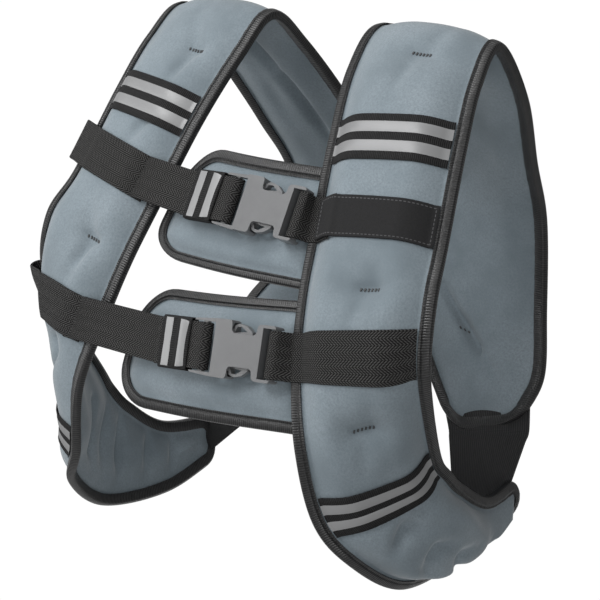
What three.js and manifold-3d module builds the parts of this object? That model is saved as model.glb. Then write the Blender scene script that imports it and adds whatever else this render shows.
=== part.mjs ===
// A weighted vest in its worn shape, in millimetres, +Z up. The wearer faces -Y and the wearer's left is +X.
// The origin is on the body's middle plane, at the height and depth of the shoulder crest.
import * as THREE from "three";
import Module from "manifold-3d";
import { mergeVertices } from "three/addons/utils/BufferGeometryUtils.js";

const wasm = await Module();
wasm.setup();

// Whole form, measured to the panels' edges
const vestHeight = 415;
const chestHalfWidth = 205;
const frontDepth = 169;
const backDepth = 110;

// Panels
const padThickness = 24;
const padOuterShare = 0.58;
const padEdge = 4;
const padRamp = 24;
const panelBow = 6;
const tipCorner = 15;
const lobeCorner = 18;
const tackDepth = 7;
const tackLength = 26;
const chestPadThickness = 14;
const chestPadCorner = 34;
const chestPadBow = 5;

// Edge binding
const bindingReach = 9;
const bindingThickness = 1;
const bindingGap = 0.6;

// Webbing, bands and elastic
const clearance = 0.3;
const skinLift = 1;
const lowBandLift = 1.4;
const strapLift = 2.1;
const webbingWidth = 36;
const webbingThickness = 1.8;
const bandWidth = 36;
const bandThickness = 1.2;
const stripeWidth = 8.5;
const stripeSpacing = 15;
const stripeThickness = 0.3;
const patchHeight = 33;
const patchThickness = 1.6;
const elasticWidth = 52;
const elasticThickness = 2;
const foldStand = 9;
const strapStand = 12;
const foldFrom = 24;
const rowSpacing = 34;
const swellReach = 10;
const upperBarGap = 17;
const lowerBarGap = 21;
const shortWebbing = 26;
const columnShares = [0.2, 0.55];

// Buckles
const buckleWidth = 44;
const buckleLength = 76;
const buckleThickness = 12;
const femaleLength = 54;
const slotWidth = 6;
const barDepth = 4;
const barWidth = 5;
const railWidth = 3;
const ladderAt = 66;
const buckleWall = 2;
const buckleTilt = THREE.MathUtils.degToRad(5);
const buckleRaise = 5;
const prongDepth = 5;
const keeperLength = 32;
const keeperThickness = 1.2;

const paint = {
  neoprene: new THREE.MeshStandardMaterial({ color: 0x74838c, roughness: 0.9, metalness: 0 }),
  binding: new THREE.MeshStandardMaterial({ color: 0x2b2c2e, roughness: 0.85, metalness: 0 }),
  webbing: new THREE.MeshStandardMaterial({ color: 0x333334, roughness: 0.8, metalness: 0 }),
  stripe: new THREE.MeshStandardMaterial({ color: 0xb4b6b8, roughness: 0.4, metalness: 0.2 }),
  felt: new THREE.MeshStandardMaterial({ color: 0x262628, roughness: 0.95, metalness: 0 }),
  buckle: new THREE.MeshStandardMaterial({ color: 0x66676a, roughness: 0.45, metalness: 0 }),
  elastic: new THREE.MeshStandardMaterial({ color: 0x1f1f21, roughness: 0.9, metalness: 0 }),
};

// The panel's two edges, from the wrap's tip under the ribs, up the front, over the shoulder and down the back.
// X is a share of chestHalfWidth, Y of frontDepth before the crest and of backDepth behind it, Z of vestHeight.
const stations = [
  { name: "tip", innerX: 0.78, innerY: 0.34, innerZ: -0.95, outerX: 0.82, outerY: 0.35, outerZ: -0.865 },
  { name: "ribs", innerX: 0.77, innerY: -0.18, innerZ: -0.99, outerX: 0.87, outerY: -0.08, outerZ: -0.86 },
  { name: "side", innerX: 0.785, innerY: -0.61, innerZ: -0.98, outerX: 0.88, outerY: -0.31, outerZ: -0.805 },
  { name: "turn", innerX: 0.725, innerY: -0.89, innerZ: -0.9, outerX: 0.89, outerY: -0.42, outerZ: -0.765 },
  { name: "lowBand", innerX: 0.625, innerY: -0.97, innerZ: -0.825, outerX: 0.89, outerY: -0.5, outerZ: -0.725 },
  { name: "lowTack", innerX: 0.565, innerY: -1, innerZ: -0.69, outerX: 0.945, outerY: -0.65, outerZ: -0.615 },
  { name: "lowStrap", innerX: 0.49, innerY: -0.91, innerZ: -0.565, outerX: 0.985, outerY: -0.74, outerZ: -0.515 },
  { name: "midTack", innerX: 0.44, innerY: -0.8, innerZ: -0.455, outerX: 0.98, outerY: -0.7, outerZ: -0.41 },
  { name: "highStrap", innerX: 0.395, innerY: -0.66, innerZ: -0.35, outerX: 0.935, outerY: -0.56, outerZ: -0.33 },
  { name: "highBand", innerX: 0.33, innerY: -0.445, innerZ: -0.198, outerX: 0.873, outerY: -0.34, outerZ: -0.176 },
  { name: "topTack", innerX: 0.273, innerY: -0.23, innerZ: -0.077, outerX: 0.83, outerY: -0.17, outerZ: -0.075 },
  { name: "crest", innerX: 0.263, innerY: -0.02, innerZ: -0.01, outerX: 0.8, outerY: 0.035, outerZ: -0.02 },
  { name: "shoulderBack", innerX: 0.288, innerY: 0.37, innerZ: -0.077, outerX: 0.78, outerY: 0.39, outerZ: -0.128 },
  { name: "blade", innerX: 0.2, innerY: 0.71, innerZ: -0.21, outerX: 0.707, outerY: 0.73, outerZ: -0.27 },
  { name: "seamTop", innerX: 0.01, innerY: 0.93, innerZ: -0.388, outerX: 0.663, outerY: 1, outerZ: -0.398 },
  { name: "seamEnd", innerX: 0.01, innerY: 0.88, innerZ: -0.569, outerX: 0.688, outerY: 0.97, outerZ: -0.569 },
  { name: "flare", innerX: 0.205, innerY: 0.655, innerZ: -0.675, outerX: 0.785, outerY: 0.7, outerZ: -0.68 },
  { name: "lobe", innerX: 0.43, innerY: 0.51, innerZ: -0.817, outerX: 0.746, outerY: 0.53, outerZ: -0.76 },
];
const place = Object.fromEntries(stations.map((row, i) => [row.name, i]));
const lastStation = stations.length - 1;

// How far each soft wrap leans from the mirrored form at its tip, fading out at the lower strap
const wrapLean = {
  left: { x: -0.08, y: 0.16, z: -0.017 },
  right: { x: 0, y: 0, z: -0.055 },
};

// Bar tacks that pull the padding in: across runs -1 to 1 from the inner to the outer edge, span is its half length
const tacks = [
  { at: place.topTack - 0.1, across: 0.12, span: 0.12, depth: 1 },
  { at: place.midTack, across: 0.1, span: 0.16, depth: 0.9 },
  { at: place.lowTack + 0.35, across: 0.1, span: 0.16, depth: 1 },
  { at: place.seamEnd + 0.3, across: 0.1, span: 0.14, depth: 0.6 },
];
// Folds of the wrap: each runs across the panel, and its height is a share of padThickness
const wrapFolds = [
  { at: 2.7, width: 0.16, height: -0.12 },
  { at: 2.35, width: 0.13, height: 0.08 },
  { at: 1.9, width: 0.15, height: -0.12 },
  { at: 1.25, width: 0.16, height: -0.1 },
];

const sideSign = { left: 1, right: -1 };
const binderHeight = padEdge / 2 + bindingGap + bindingThickness;
const border = bindingReach + 2;
const rimMargin = bindingGap + bindingThickness + 1;
const seamHalf = bindingThickness + bindingGap + 1;

// The middle surface of a shoulder panel: u counts stations and v runs -1 to 1 from the inner to the outer edge
function shoulderSurface(side) {
  const lean = wrapLean[side];
  const edge = (key) => new THREE.CatmullRomCurve3(stations.map((row, i) => {
    const fade = Math.max(0, (place.lowStrap - i) / place.lowStrap);
    const y = row[key + "Y"];
    return new THREE.Vector3(
      (row[key + "X"] + lean.x * fade) * chestHalfWidth,
      y * (y < 0 ? frontDepth : backDepth) + lean.y * fade * backDepth,
      (row[key + "Z"] + lean.z * fade) * vestHeight,
    );
  }), false, "catmullrom");
  const inner = edge("inner");
  const outer = edge("outer");
  return (u, v) => {
    const t = THREE.MathUtils.clamp(u / lastStation, 0, 1);
    const a = inner.getPoint(t);
    const b = outer.getPoint(t);
    a.x = Math.max(a.x, seamHalf);
    const along = inner.getTangent(t).add(outer.getTangent(t));
    const bow = b.clone().sub(a).cross(along).normalize();
    const point = a.lerp(b, (v + 1) / 2).addScaledVector(bow, panelBow * (1 - v * v));
    point.x *= sideSign[side];
    return point;
  };
}

// A padded panel over a middle surface. It gives the height of its skin, and points and frames on it.
class Panel {
  constructor({ surface, uEnd, thickness, outerShare, ramp, startCorner, endCorner, mirror, dents = [], folds = [] }) {
    Object.assign(this, { surface, uEnd, thickness, outerShare, ramp, startCorner, endCorner, mirror, dents, folds });
    const steps = 400;
    this.lengths = [0];
    for (let i = 1; i <= steps; i++) {
      const step = surface(uEnd * i / steps, 0).distanceTo(surface(uEnd * (i - 1) / steps, 0));
      this.lengths.push(this.lengths[i - 1] + step);
    }
    this.length = this.lengths[steps];
  }
  reach(u) {
    const steps = this.lengths.length - 1;
    const f = THREE.MathUtils.clamp(u / this.uEnd, 0, 1) * steps;
    const i = Math.min(Math.floor(f), steps - 1);
    return THREE.MathUtils.lerp(this.lengths[i], this.lengths[i + 1], f - i);
  }
  uAt(reach) {
    const steps = this.lengths.length - 1;
    let i = this.lengths.findIndex((l) => l >= reach);
    if (i < 0) i = steps;
    if (i === 0) return 0;
    return (i - 1 + (reach - this.lengths[i - 1]) / (this.lengths[i] - this.lengths[i - 1])) / steps * this.uEnd;
  }
  half(u) {
    const cut = (radius, s) => s >= radius ? 0 : radius - Math.sqrt(radius * radius - (radius - s) ** 2);
    const full = this.surface(u, -1).distanceTo(this.surface(u, 1)) / 2;
    const s = this.reach(u);
    return { full, rim: full - Math.max(cut(this.startCorner, s), cut(this.endCorner, this.length - s)) };
  }
  // How squarely the line across meets the rim at v = side: the sine of the angle between them
  squareness(u, side) {
    const du = this.uEnd / 500;
    const rim = this.at(Math.min(u + du, this.uEnd), side, 0).sub(this.at(Math.max(u - du, 0), side, 0));
    const across = this.surface(u, 1).sub(this.surface(u, -1));
    return Math.sin(across.angleTo(rim));
  }
  normal(u, v) {
    const du = this.uEnd / 1000;
    const dv = 0.02;
    const a = this.surface(Math.min(u + du, this.uEnd), v).sub(this.surface(Math.max(u - du, 0), v));
    const b = this.surface(u, v + dv).sub(this.surface(u, v - dv));
    return b.cross(a).multiplyScalar(this.mirror).normalize();
  }
  lengthwise(u, v) {
    const du = this.uEnd / 1000;
    return this.surface(Math.min(u + du, this.uEnd), v).sub(this.surface(Math.max(u - du, 0), v)).normalize();
  }
  // Millimetres along the panel for each step of u
  speed(u, v) {
    return this.surface(u + 0.01, v).distanceTo(this.surface(u - 0.01, v)) / 0.02;
  }
  // Half thickness of the padding at v, a share of the rounded outline's half width
  height(u, v, face) {
    const { full, rim } = this.half(u);
    const s = this.reach(u);
    const side = rim * (1 - Math.abs(v)) * this.squareness(u, Math.sign(v) || 1);
    const inside = Math.min(side, s, this.length - s) - border;
    if (inside <= 0) return padEdge / 2;
    const swell = Math.sin(Math.PI / 2 * Math.min(1, inside / this.ramp));
    const share = face > 0 ? this.outerShare : 1 - this.outerShare;
    let h = padEdge / 2 + (this.thickness * share - padEdge / 2) * swell;
    if (face > 0) {
      for (const dent of this.dents) {
        const along = (s - this.reach(dent.at)) / (tackLength / 2);
        const across = Math.max(0, Math.abs(v * rim / full - dent.across) - dent.span) / 0.3;
        h -= tackDepth * dent.depth * swell * Math.exp(-along * along - across * across);
      }
      for (const fold of this.folds) {
        h += this.thickness * fold.height * swell * Math.exp(-(((u - fold.at) / fold.width) ** 2));
      }
    }
    return Math.max(h, padEdge / 2);
  }
  // A point at share v of the rounded outline, raised from the middle surface
  at(u, v, rise) {
    const { full, rim } = this.half(u);
    const q = v * rim / full;
    return this.surface(u, q).addScaledVector(this.normal(u, q), rise);
  }
  // Shares of the half width at which the padding is sampled, from the outer rim to the inner one
  columns(u) {
    const { rim } = this.half(u);
    const from = (side) => {
      const flat = Math.min(border / Math.max(this.squareness(u, side), 0.1), rim * 0.5);
      return [0, flat, ...columnShares.map((share) => flat + (rim - flat) * share)].map((d) => side * (1 - d / rim));
    };
    return [...from(1), 0, ...from(-1).reverse()];
  }
  // Where the rim point at (u, v) comes to when the outline shrinks by d
  inset(u, v, d) {
    const s = this.reach(u);
    const atEnd = s > this.length / 2;
    const radius = atEnd ? this.endCorner : this.startCorner;
    const fromEnd = atEnd ? this.length - s : s;
    const { full, rim } = this.half(u);
    if (fromEnd >= radius) return { u, v: v * (1 - d / rim / this.squareness(u, v)) };
    const shrink = 1 - d / radius;
    const insetEnd = radius - (radius - fromEnd) * shrink;
    const insetU = this.uAt(atEnd ? this.length - insetEnd : insetEnd);
    const there = this.half(insetU);
    const x = Math.abs(v) * (there.full - radius) + (rim - full + radius) * shrink;
    return { u: insetU, v: Math.sign(v) * x / there.rim };
  }
  // Stations of the rows: close together at the rounded ends, at dents and at folds
  rows(spacing) {
    const ends = (radius) => {
      const edge = [0, border, border + swellReach];
      const steps = Math.round(radius / 6);
      const arc = Array.from({ length: steps }, (_, i) => radius * (1 - Math.cos((i + 1) / (steps + 1) * Math.PI / 2)));
      return [...edge, ...arc.filter((s) => edge.every((e) => Math.abs(e - s) > 1))].sort((a, b) => a - b);
    };
    const start = ends(this.startCorner);
    const end = ends(this.endCorner).map((s) => this.length - s).reverse();
    const marked = [
      ...this.folds.flatMap(({ at, width }) => [at - width, at, at + width]).map((u) => this.reach(u)),
      ...this.dents.flatMap(({ at }) => [-1, 0, 1].map((step) => this.reach(at) + step * tackLength * 0.4)),
    ].filter((s) => s > start[start.length - 1] + 5 && s < end[0] - 5).sort((a, b) => a - b);
    const fixed = [...start, ...marked.filter((s, i) => i === 0 || s - marked[i - 1] > 10), ...end];
    const all = fixed.flatMap((s, i) => {
      if (i === 0) return [s];
      const count = Math.max(1, Math.round((s - fixed[i - 1]) / spacing));
      return Array.from({ length: count }, (_, k) => fixed[i - 1] + (s - fixed[i - 1]) * (k + 1) / count);
    });
    return all.map((s) => this.uAt(s));
  }
}

// Joins equal loops of points into one closed body; caps lists each end's quads, and a ring has none. The near
// half of a loop may be split along the same diagonals as the far half, so that thin twisted layers never cross.
function loft(loops, caps, sameDiagonals = false) {
  const size = loops[0].length;
  const position = loops.flat().flatMap((p) => [p.x, p.y, p.z]);
  const index = [];
  const quad = (a, b, c, d) => index.push(a, b, c, a, c, d);
  const spans = caps ? loops.length - 1 : loops.length;
  for (let i = 0; i < spans; i++) {
    const next = (i + 1) % loops.length * size;
    for (let j = 0; j < size; j++) {
      const k = (j + 1) % size;
      if (sameDiagonals && j < size / 2) quad(i * size + k, next + k, next + j, i * size + j);
      else quad(i * size + j, i * size + k, next + k, next + j);
    }
  }
  if (caps) {
    const last = (loops.length - 1) * size;
    for (const [a, b, c, d] of caps) {
      quad(d, c, b, a);
      quad(last + a, last + b, last + c, last + d);
    }
  }
  return outward(position, index);
}

// Turns every face round where the body would be inside out
function outward(position, index) {
  const corner = (i) => new THREE.Vector3().fromArray(position, index[i] * 3);
  let volume = 0;
  for (let i = 0; i < index.length; i += 3) volume += corner(i).dot(corner(i + 1).cross(corner(i + 2)));
  if (volume < 0) index.reverse();
  const geometry = new THREE.BufferGeometry();
  geometry.setAttribute("position", new THREE.Float32BufferAttribute(position, 3));
  geometry.setIndex(index);
  return geometry;
}

const capQuads = (columns) => Array.from({ length: columns - 1 }, (_, j) =>
  [j, j + 1, 2 * columns - 2 - j, 2 * columns - 1 - j]);

function padGeometry(panel, spacing) {
  const loops = panel.rows(spacing).map((u) => {
    const columns = panel.columns(u);
    const outer = columns.map((v) => panel.at(u, v, panel.height(u, v, 1)));
    const inner = columns.map((v) => panel.at(u, v, -panel.height(u, v, -1)));
    return [...outer, ...inner.reverse()];
  });
  return loft(loops, capQuads(loops[0].length / 2));
}

// The binding is a folded tape: a U section that follows the panel's rim, closed or open at the panel's start
const bindingCaps = [[0, 1, 6, 7], [1, 2, 5, 6], [2, 3, 4, 5]];
function bindingGeometry(panel, spacing, closed) {
  const rows = panel.rows(spacing);
  const endRow = (u) => panel.columns(u).slice(1, -1).map((v) => [u, v]);
  const route = [
    ...rows.map((u) => [u, 1]), ...endRow(panel.uEnd), ...rows.reverse().map((u) => [u, -1]),
    ...(closed ? endRow(0).reverse() : []),
  ];
  const loops = route.map(([u, v]) => {
    const inner = panel.inset(u, v, bindingReach);
    const legEnd = (face, lift) => panel.at(inner.u, inner.v, face * (panel.height(inner.u, inner.v, face) + lift));
    const p = panel.at(u, v, 0);
    const { full, rim } = panel.half(u);
    const normal = panel.normal(u, v * rim / full);
    const out = p.clone().sub(panel.at(inner.u, inner.v, 0));
    out.addScaledVector(normal, -out.dot(normal)).normalize();
    const corner = (b, n) => p.clone().addScaledVector(out, b).addScaledVector(normal, n);
    const over = bindingGap + bindingThickness;
    const inLeg = padEdge / 2 + bindingGap;
    return [
      legEnd(1, over), corner(over, binderHeight), corner(over, -binderHeight), legEnd(-1, over),
      legEnd(-1, bindingGap), corner(bindingGap, -inLeg), corner(bindingGap, inLeg), legEnd(1, bindingGap),
    ];
  });
  return loft(loops, closed ? null : bindingCaps);
}

// A ribbon through nodes. A node's across(s) gives the point at s along the ribbon's width and the side that
// its thickness grows to, so a ribbon on a panel bends with the skin and a free one is flat.
const flatNode = (p, w, n, stretch = 1) => ({
  across: (s) => ({ p: p.clone().addScaledVector(w, s * stretch), n }),
});
function ribbon(nodes, width, thickness, { offset = 0, rise = 0, pieces = 1 } = {}) {
  const loops = nodes.map(({ across }) => {
    const steps = Array.from({ length: pieces + 1 }, (_, i) => across(offset + (i / pieces - 0.5) * width));
    const layer = (height) => steps.map(({ p, n }) => p.clone().addScaledVector(n, height));
    return [...layer(rise), ...layer(rise + thickness).reverse()];
  });
  return loft(loops, capQuads(pieces + 1), true);
}

// A ribbon node on a panel's skin, or on its binding where the ribbon crosses that
function skinNode(panel, u, v, face, lift) {
  const speed = panel.speed(u, v);
  const across = (s) => {
    const at = u + s / speed;
    const fromRim = panel.half(at).rim * (1 - Math.abs(v)) * panel.squareness(at, Math.sign(v));
    const onBinding = fromRim < border + 1.5;
    const height = Math.max(panel.height(at, v, face), onBinding ? binderHeight + clearance - skinLift : 0) + lift;
    return { p: panel.at(at, v, face * height), n: panel.normal(at, v).multiplyScalar(face) };
  };
  return { across };
}
// The same ribbon node seen from its far side, so that its thickness grows towards the panel
function flipped({ across }, thickness) {
  return {
    across: (s) => {
      const { p, n } = across(s);
      return { p: p.addScaledVector(n, thickness), n: n.negate() };
    },
  };
}

// Ribbon nodes across a panel, between two distances from its inner rim; slant is the change of u to each rim
function acrossNodes(panel, u, slant, from, to, lift = () => skinLift, extra = []) {
  const { rim } = panel.half(u);
  const share = (d) => d / rim - 1;
  const inner = [...panel.columns(u), ...extra.map(share)].sort((a, b) => a - b);
  const wanted = [share(from), ...inner.filter((v) => v > share(from + 1) && v < share(to - 1)), share(to)];
  return wanted.map((v) => skinNode(panel, u + slant * v, v, 1, lift((v + 1) * rim)));
}

const vest = new THREE.Group();
function add(name, geometry, material, frame) {
  const mesh = new THREE.Mesh(geometry, material);
  mesh.name = name;
  if (frame) {
    mesh.position.setFromMatrixPosition(frame);
    mesh.quaternion.setFromRotationMatrix(frame);
  }
  vest.add(mesh);
}

// Shoulder panels with their bindings and reflective bands
const panels = {};
for (const side of ["left", "right"]) {
  const panel = new Panel({
    surface: shoulderSurface(side), uEnd: lastStation, thickness: padThickness, outerShare: padOuterShare,
    ramp: padRamp, startCorner: tipCorner, endCorner: lobeCorner, mirror: sideSign[side],
    dents: tacks, folds: wrapFolds,
  });
  panels[side] = panel;
  add(`${side}_pad`, padGeometry(panel, rowSpacing), paint.neoprene);
  add(`${side}_binding`, bindingGeometry(panel, rowSpacing, true), paint.binding);
  for (const [level, at, lift] of [["upper", place.highBand, skinLift], ["lower", place.lowBand, lowBandLift]]) {
    const width = panel.half(at).rim * 2;
    const nodes = acrossNodes(panel, at, 0, border + clearance, width - border - clearance, () => lift);
    add(`${side}_${level}_band`, ribbon(nodes, bandWidth, bandThickness, { pieces: 4 }), paint.webbing);
    for (const stripe of [0, 1]) {
      const offset = (0.5 - stripe) * stripeSpacing;
      const geometry = ribbon(nodes, stripeWidth, stripeThickness, { offset, rise: bandThickness + clearance });
      add(`${side}_${level}_stripe_${stripe + 1}`, geometry, paint.stripe);
    }
  }
}
const { left, right } = panels;

// Two fastenings: at values count stations, barGap runs from the left rim to the buckle's slot, and
// webbingEnd is how far the left webbing reaches on to the panel, or all across it at 0
const fasteners = [
  {
    level: "upper", seatTop: 8.75, seatBottom: 7.27, seatGap: 1.6, endShare: 0.84, endDrop: 0,
    webbingAt: 8.19, strapAt: 8.265, strapSlant: 0.075, barGap: upperBarGap, webbingEnd: shortWebbing,
  },
  {
    level: "lower", seatTop: 7.05, seatBottom: 5.18, seatGap: 2.1, endShare: 0.76, endDrop: 0.045,
    webbingAt: 6.18, strapAt: 5.95, strapSlant: 0.12, barGap: lowerBarGap, webbingEnd: 0,
  },
];

// The bare name patch covers the end of the upper left webbing
const patchAt = fasteners[0].webbingAt;
const patchOver = fasteners[0].webbingEnd + 2;
const patchRaise = webbingThickness + 2 * clearance;
const patchTo = left.half(patchAt).rim * 2 - border - clearance;
const patchNodes = acrossNodes(left, patchAt, 0, border + clearance, patchTo,
  (d) => skinLift + (d < patchOver + 1 ? patchRaise : 0), [patchOver, patchOver + 4]);
add("name_patch", ribbon(patchNodes, patchHeight, patchThickness, { pieces: 4 }), paint.felt);

// A chest pad's middle surface starts under the left panel's inner binding and ends short of the right panel
const seatTuck = bindingReach - 3;
function chestSurface({ seatTop, seatBottom, seatGap, endShare, endDrop }) {
  return (u, v) => {
    const at = THREE.MathUtils.lerp(seatBottom, seatTop, (v + 1) / 2);
    const seat = left.at(at, -1, -2 * binderHeight - seatGap);
    seat.x += seatTuck;
    const end = new THREE.Vector3(-seat.x * endShare, seat.y, seat.z - endDrop * vestHeight);
    const bow = chestPadBow * Math.sin(Math.PI * u) ** 1.5;
    return seat.lerp(end, u).addScaledVector(new THREE.Vector3(0, -1, 0), bow);
  };
}

const box = (x0, x1, y0, y1, z0, z1) => new THREE.BoxGeometry(x1 - x0, y1 - y0, z1 - z0)
  .translate((x0 + x1) / 2, (y0 + y1) / 2, (z0 + z1) / 2);

function solid(geometry) {
  const bare = geometry.clone();
  bare.deleteAttribute("normal");
  bare.deleteAttribute("uv");
  const merged = mergeVertices(bare);
  return new wasm.Manifold(new wasm.Mesh({
    numProp: 3, vertProperties: merged.attributes.position.array, triVerts: new Uint32Array(merged.index.array),
  }));
}

function cutBody(body, cuts) {
  const { vertProperties, triVerts } = cuts.reduce((rest, cut) => rest.subtract(solid(cut)), solid(body)).getMesh();
  const geometry = new THREE.BufferGeometry();
  geometry.setAttribute("position", new THREE.BufferAttribute(vertProperties, 3));
  geometry.setIndex(new THREE.BufferAttribute(triVerts, 1));
  return geometry;
}

// A plate of half outline [x, y] mirrored in Y, centred on Z
function plate(halfOutline, depth) {
  const outline = [...halfOutline, ...halfOutline.map(([x, y]) => [x, -y]).reverse()];
  const shape = new THREE.Shape(outline.map(([x, y]) => new THREE.Vector2(x, y)));
  return new THREE.ExtrudeGeometry(shape, { depth, bevelEnabled: false }).translate(0, 0, -depth / 2);
}

// The buckle's own frame has X from its female end to its male end, Y across and Z out from the chest.
// A window in each side of the female body shows a prong's head.
const buckleHalf = buckleWidth / 2;
const windowStart = 15;
const windowEnd = 41;
const windowSlope = 5;
const windowDepth = 9;
const pocketHalf = prongDepth / 2 + clearance;
const slotHalf = webbingWidth / 2 + 0.8;

function femaleGeometry() {
  const endHalf = buckleHalf - 0.8;
  const body = plate([
    [0, endHalf], [windowStart - windowSlope / 2, endHalf], [windowStart + windowSlope / 2, buckleHalf - windowDepth],
    [windowEnd - windowSlope, buckleHalf - windowDepth], [windowEnd, buckleHalf], [femaleLength, buckleHalf],
  ], buckleThickness);
  const inside = buckleHalf - buckleWall;
  return cutBody(body, [
    box(barWidth, barWidth + slotWidth, -slotHalf, slotHalf, -buckleThickness, buckleThickness),
    box(-1, barWidth + 1, -slotHalf, slotHalf, -buckleThickness, -barDepth / 2),
    box(-1, barWidth + 1, -slotHalf, slotHalf, barDepth / 2, buckleThickness),
    box(windowStart, femaleLength + 1, -inside, inside, -pocketHalf, pocketHalf),
  ]);
}

function maleGeometry() {
  const inside = buckleHalf - railWidth;
  const base = femaleLength + clearance;
  const middle = (windowStart + windowEnd) / 2;
  const head = buckleHalf - buckleWall - clearance;
  const body = plate([
    [buckleLength, buckleHalf - 1.5], [base, buckleHalf], [base, head - 1], [middle + 9, head - 3],
    [middle + 6, head], [middle - 4, head - 3], [middle - 7, head - 7], [base - 8, head - 8],
    [base - 6, 2], [middle, 1.5],
  ], prongDepth);
  const near = ladderAt - barDepth / 2;
  const far = ladderAt + barDepth / 2;
  return cutBody(body, [
    box(base + 3, near, -inside, inside, -prongDepth, prongDepth),
    box(far, buckleLength + 1, -inside, inside, -prongDepth, prongDepth),
    box(near - 1, far + 1, -inside, inside, -prongDepth, -barDepth / 2),
    box(near - 1, far + 1, -inside, inside, barDepth / 2, prongDepth),
  ]);
}

// Nodes of a ribbon turning round a bar at barX of the buckle's frame, between two angles in X and Z
function hook(frame, barX, from, to, w) {
  const radius = Math.hypot(barDepth, barWidth) / 2 + clearance;
  const steps = 6;
  return Array.from({ length: steps + 1 }, (_, i) => {
    const angle = THREE.MathUtils.lerp(from, to, i / steps);
    const n = new THREE.Vector3(Math.cos(angle), 0, Math.sin(angle));
    const p = new THREE.Vector3(barX, 0, 0).addScaledVector(n, radius);
    return flatNode(p.applyMatrix4(frame), w, n.transformDirection(frame));
  });
}

// The right strap over its panel, round the outer edge and back a little way behind it
function strapOverPanel(at, slant) {
  const width = right.half(at).rim * 2;
  const front = acrossNodes(right, at, slant, -rimMargin, width - foldFrom, () => strapLift)
    .map((node) => flipped(node, webbingThickness));
  const outerAt = at + slant;
  const speed = right.speed(outerAt, 1);
  const backHeight = binderHeight + strapLift + webbingThickness;
  const middle = (strapStand - backHeight) / 2;
  const radius = (strapStand + backHeight) / 2;
  const foldSteps = 6;
  const fold = Array.from({ length: foldSteps + 1 }, (_, i) => {
    const angle = Math.PI * (0.5 - i / foldSteps);
    const across = (s) => {
      const u = outerAt + s / speed;
      const rim = right.at(u, 1, 0);
      const out = rim.clone().sub(right.at(u, 0.8, 0)).normalize();
      const up = right.normal(u, 1);
      const p = rim.addScaledVector(up, middle + radius * Math.sin(angle));
      p.addScaledVector(out, foldStand * Math.cos(angle));
      return { p, n: up.multiplyScalar(-Math.sin(angle)).addScaledVector(out, -Math.cos(angle)) };
    };
    return { across };
  });
  const behind = [0.8, 0.66, 0.5].map((v) => flipped(skinNode(right, outerAt, v, -1, strapLift), webbingThickness));
  return [...front, ...fold, ...behind];
}

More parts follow.
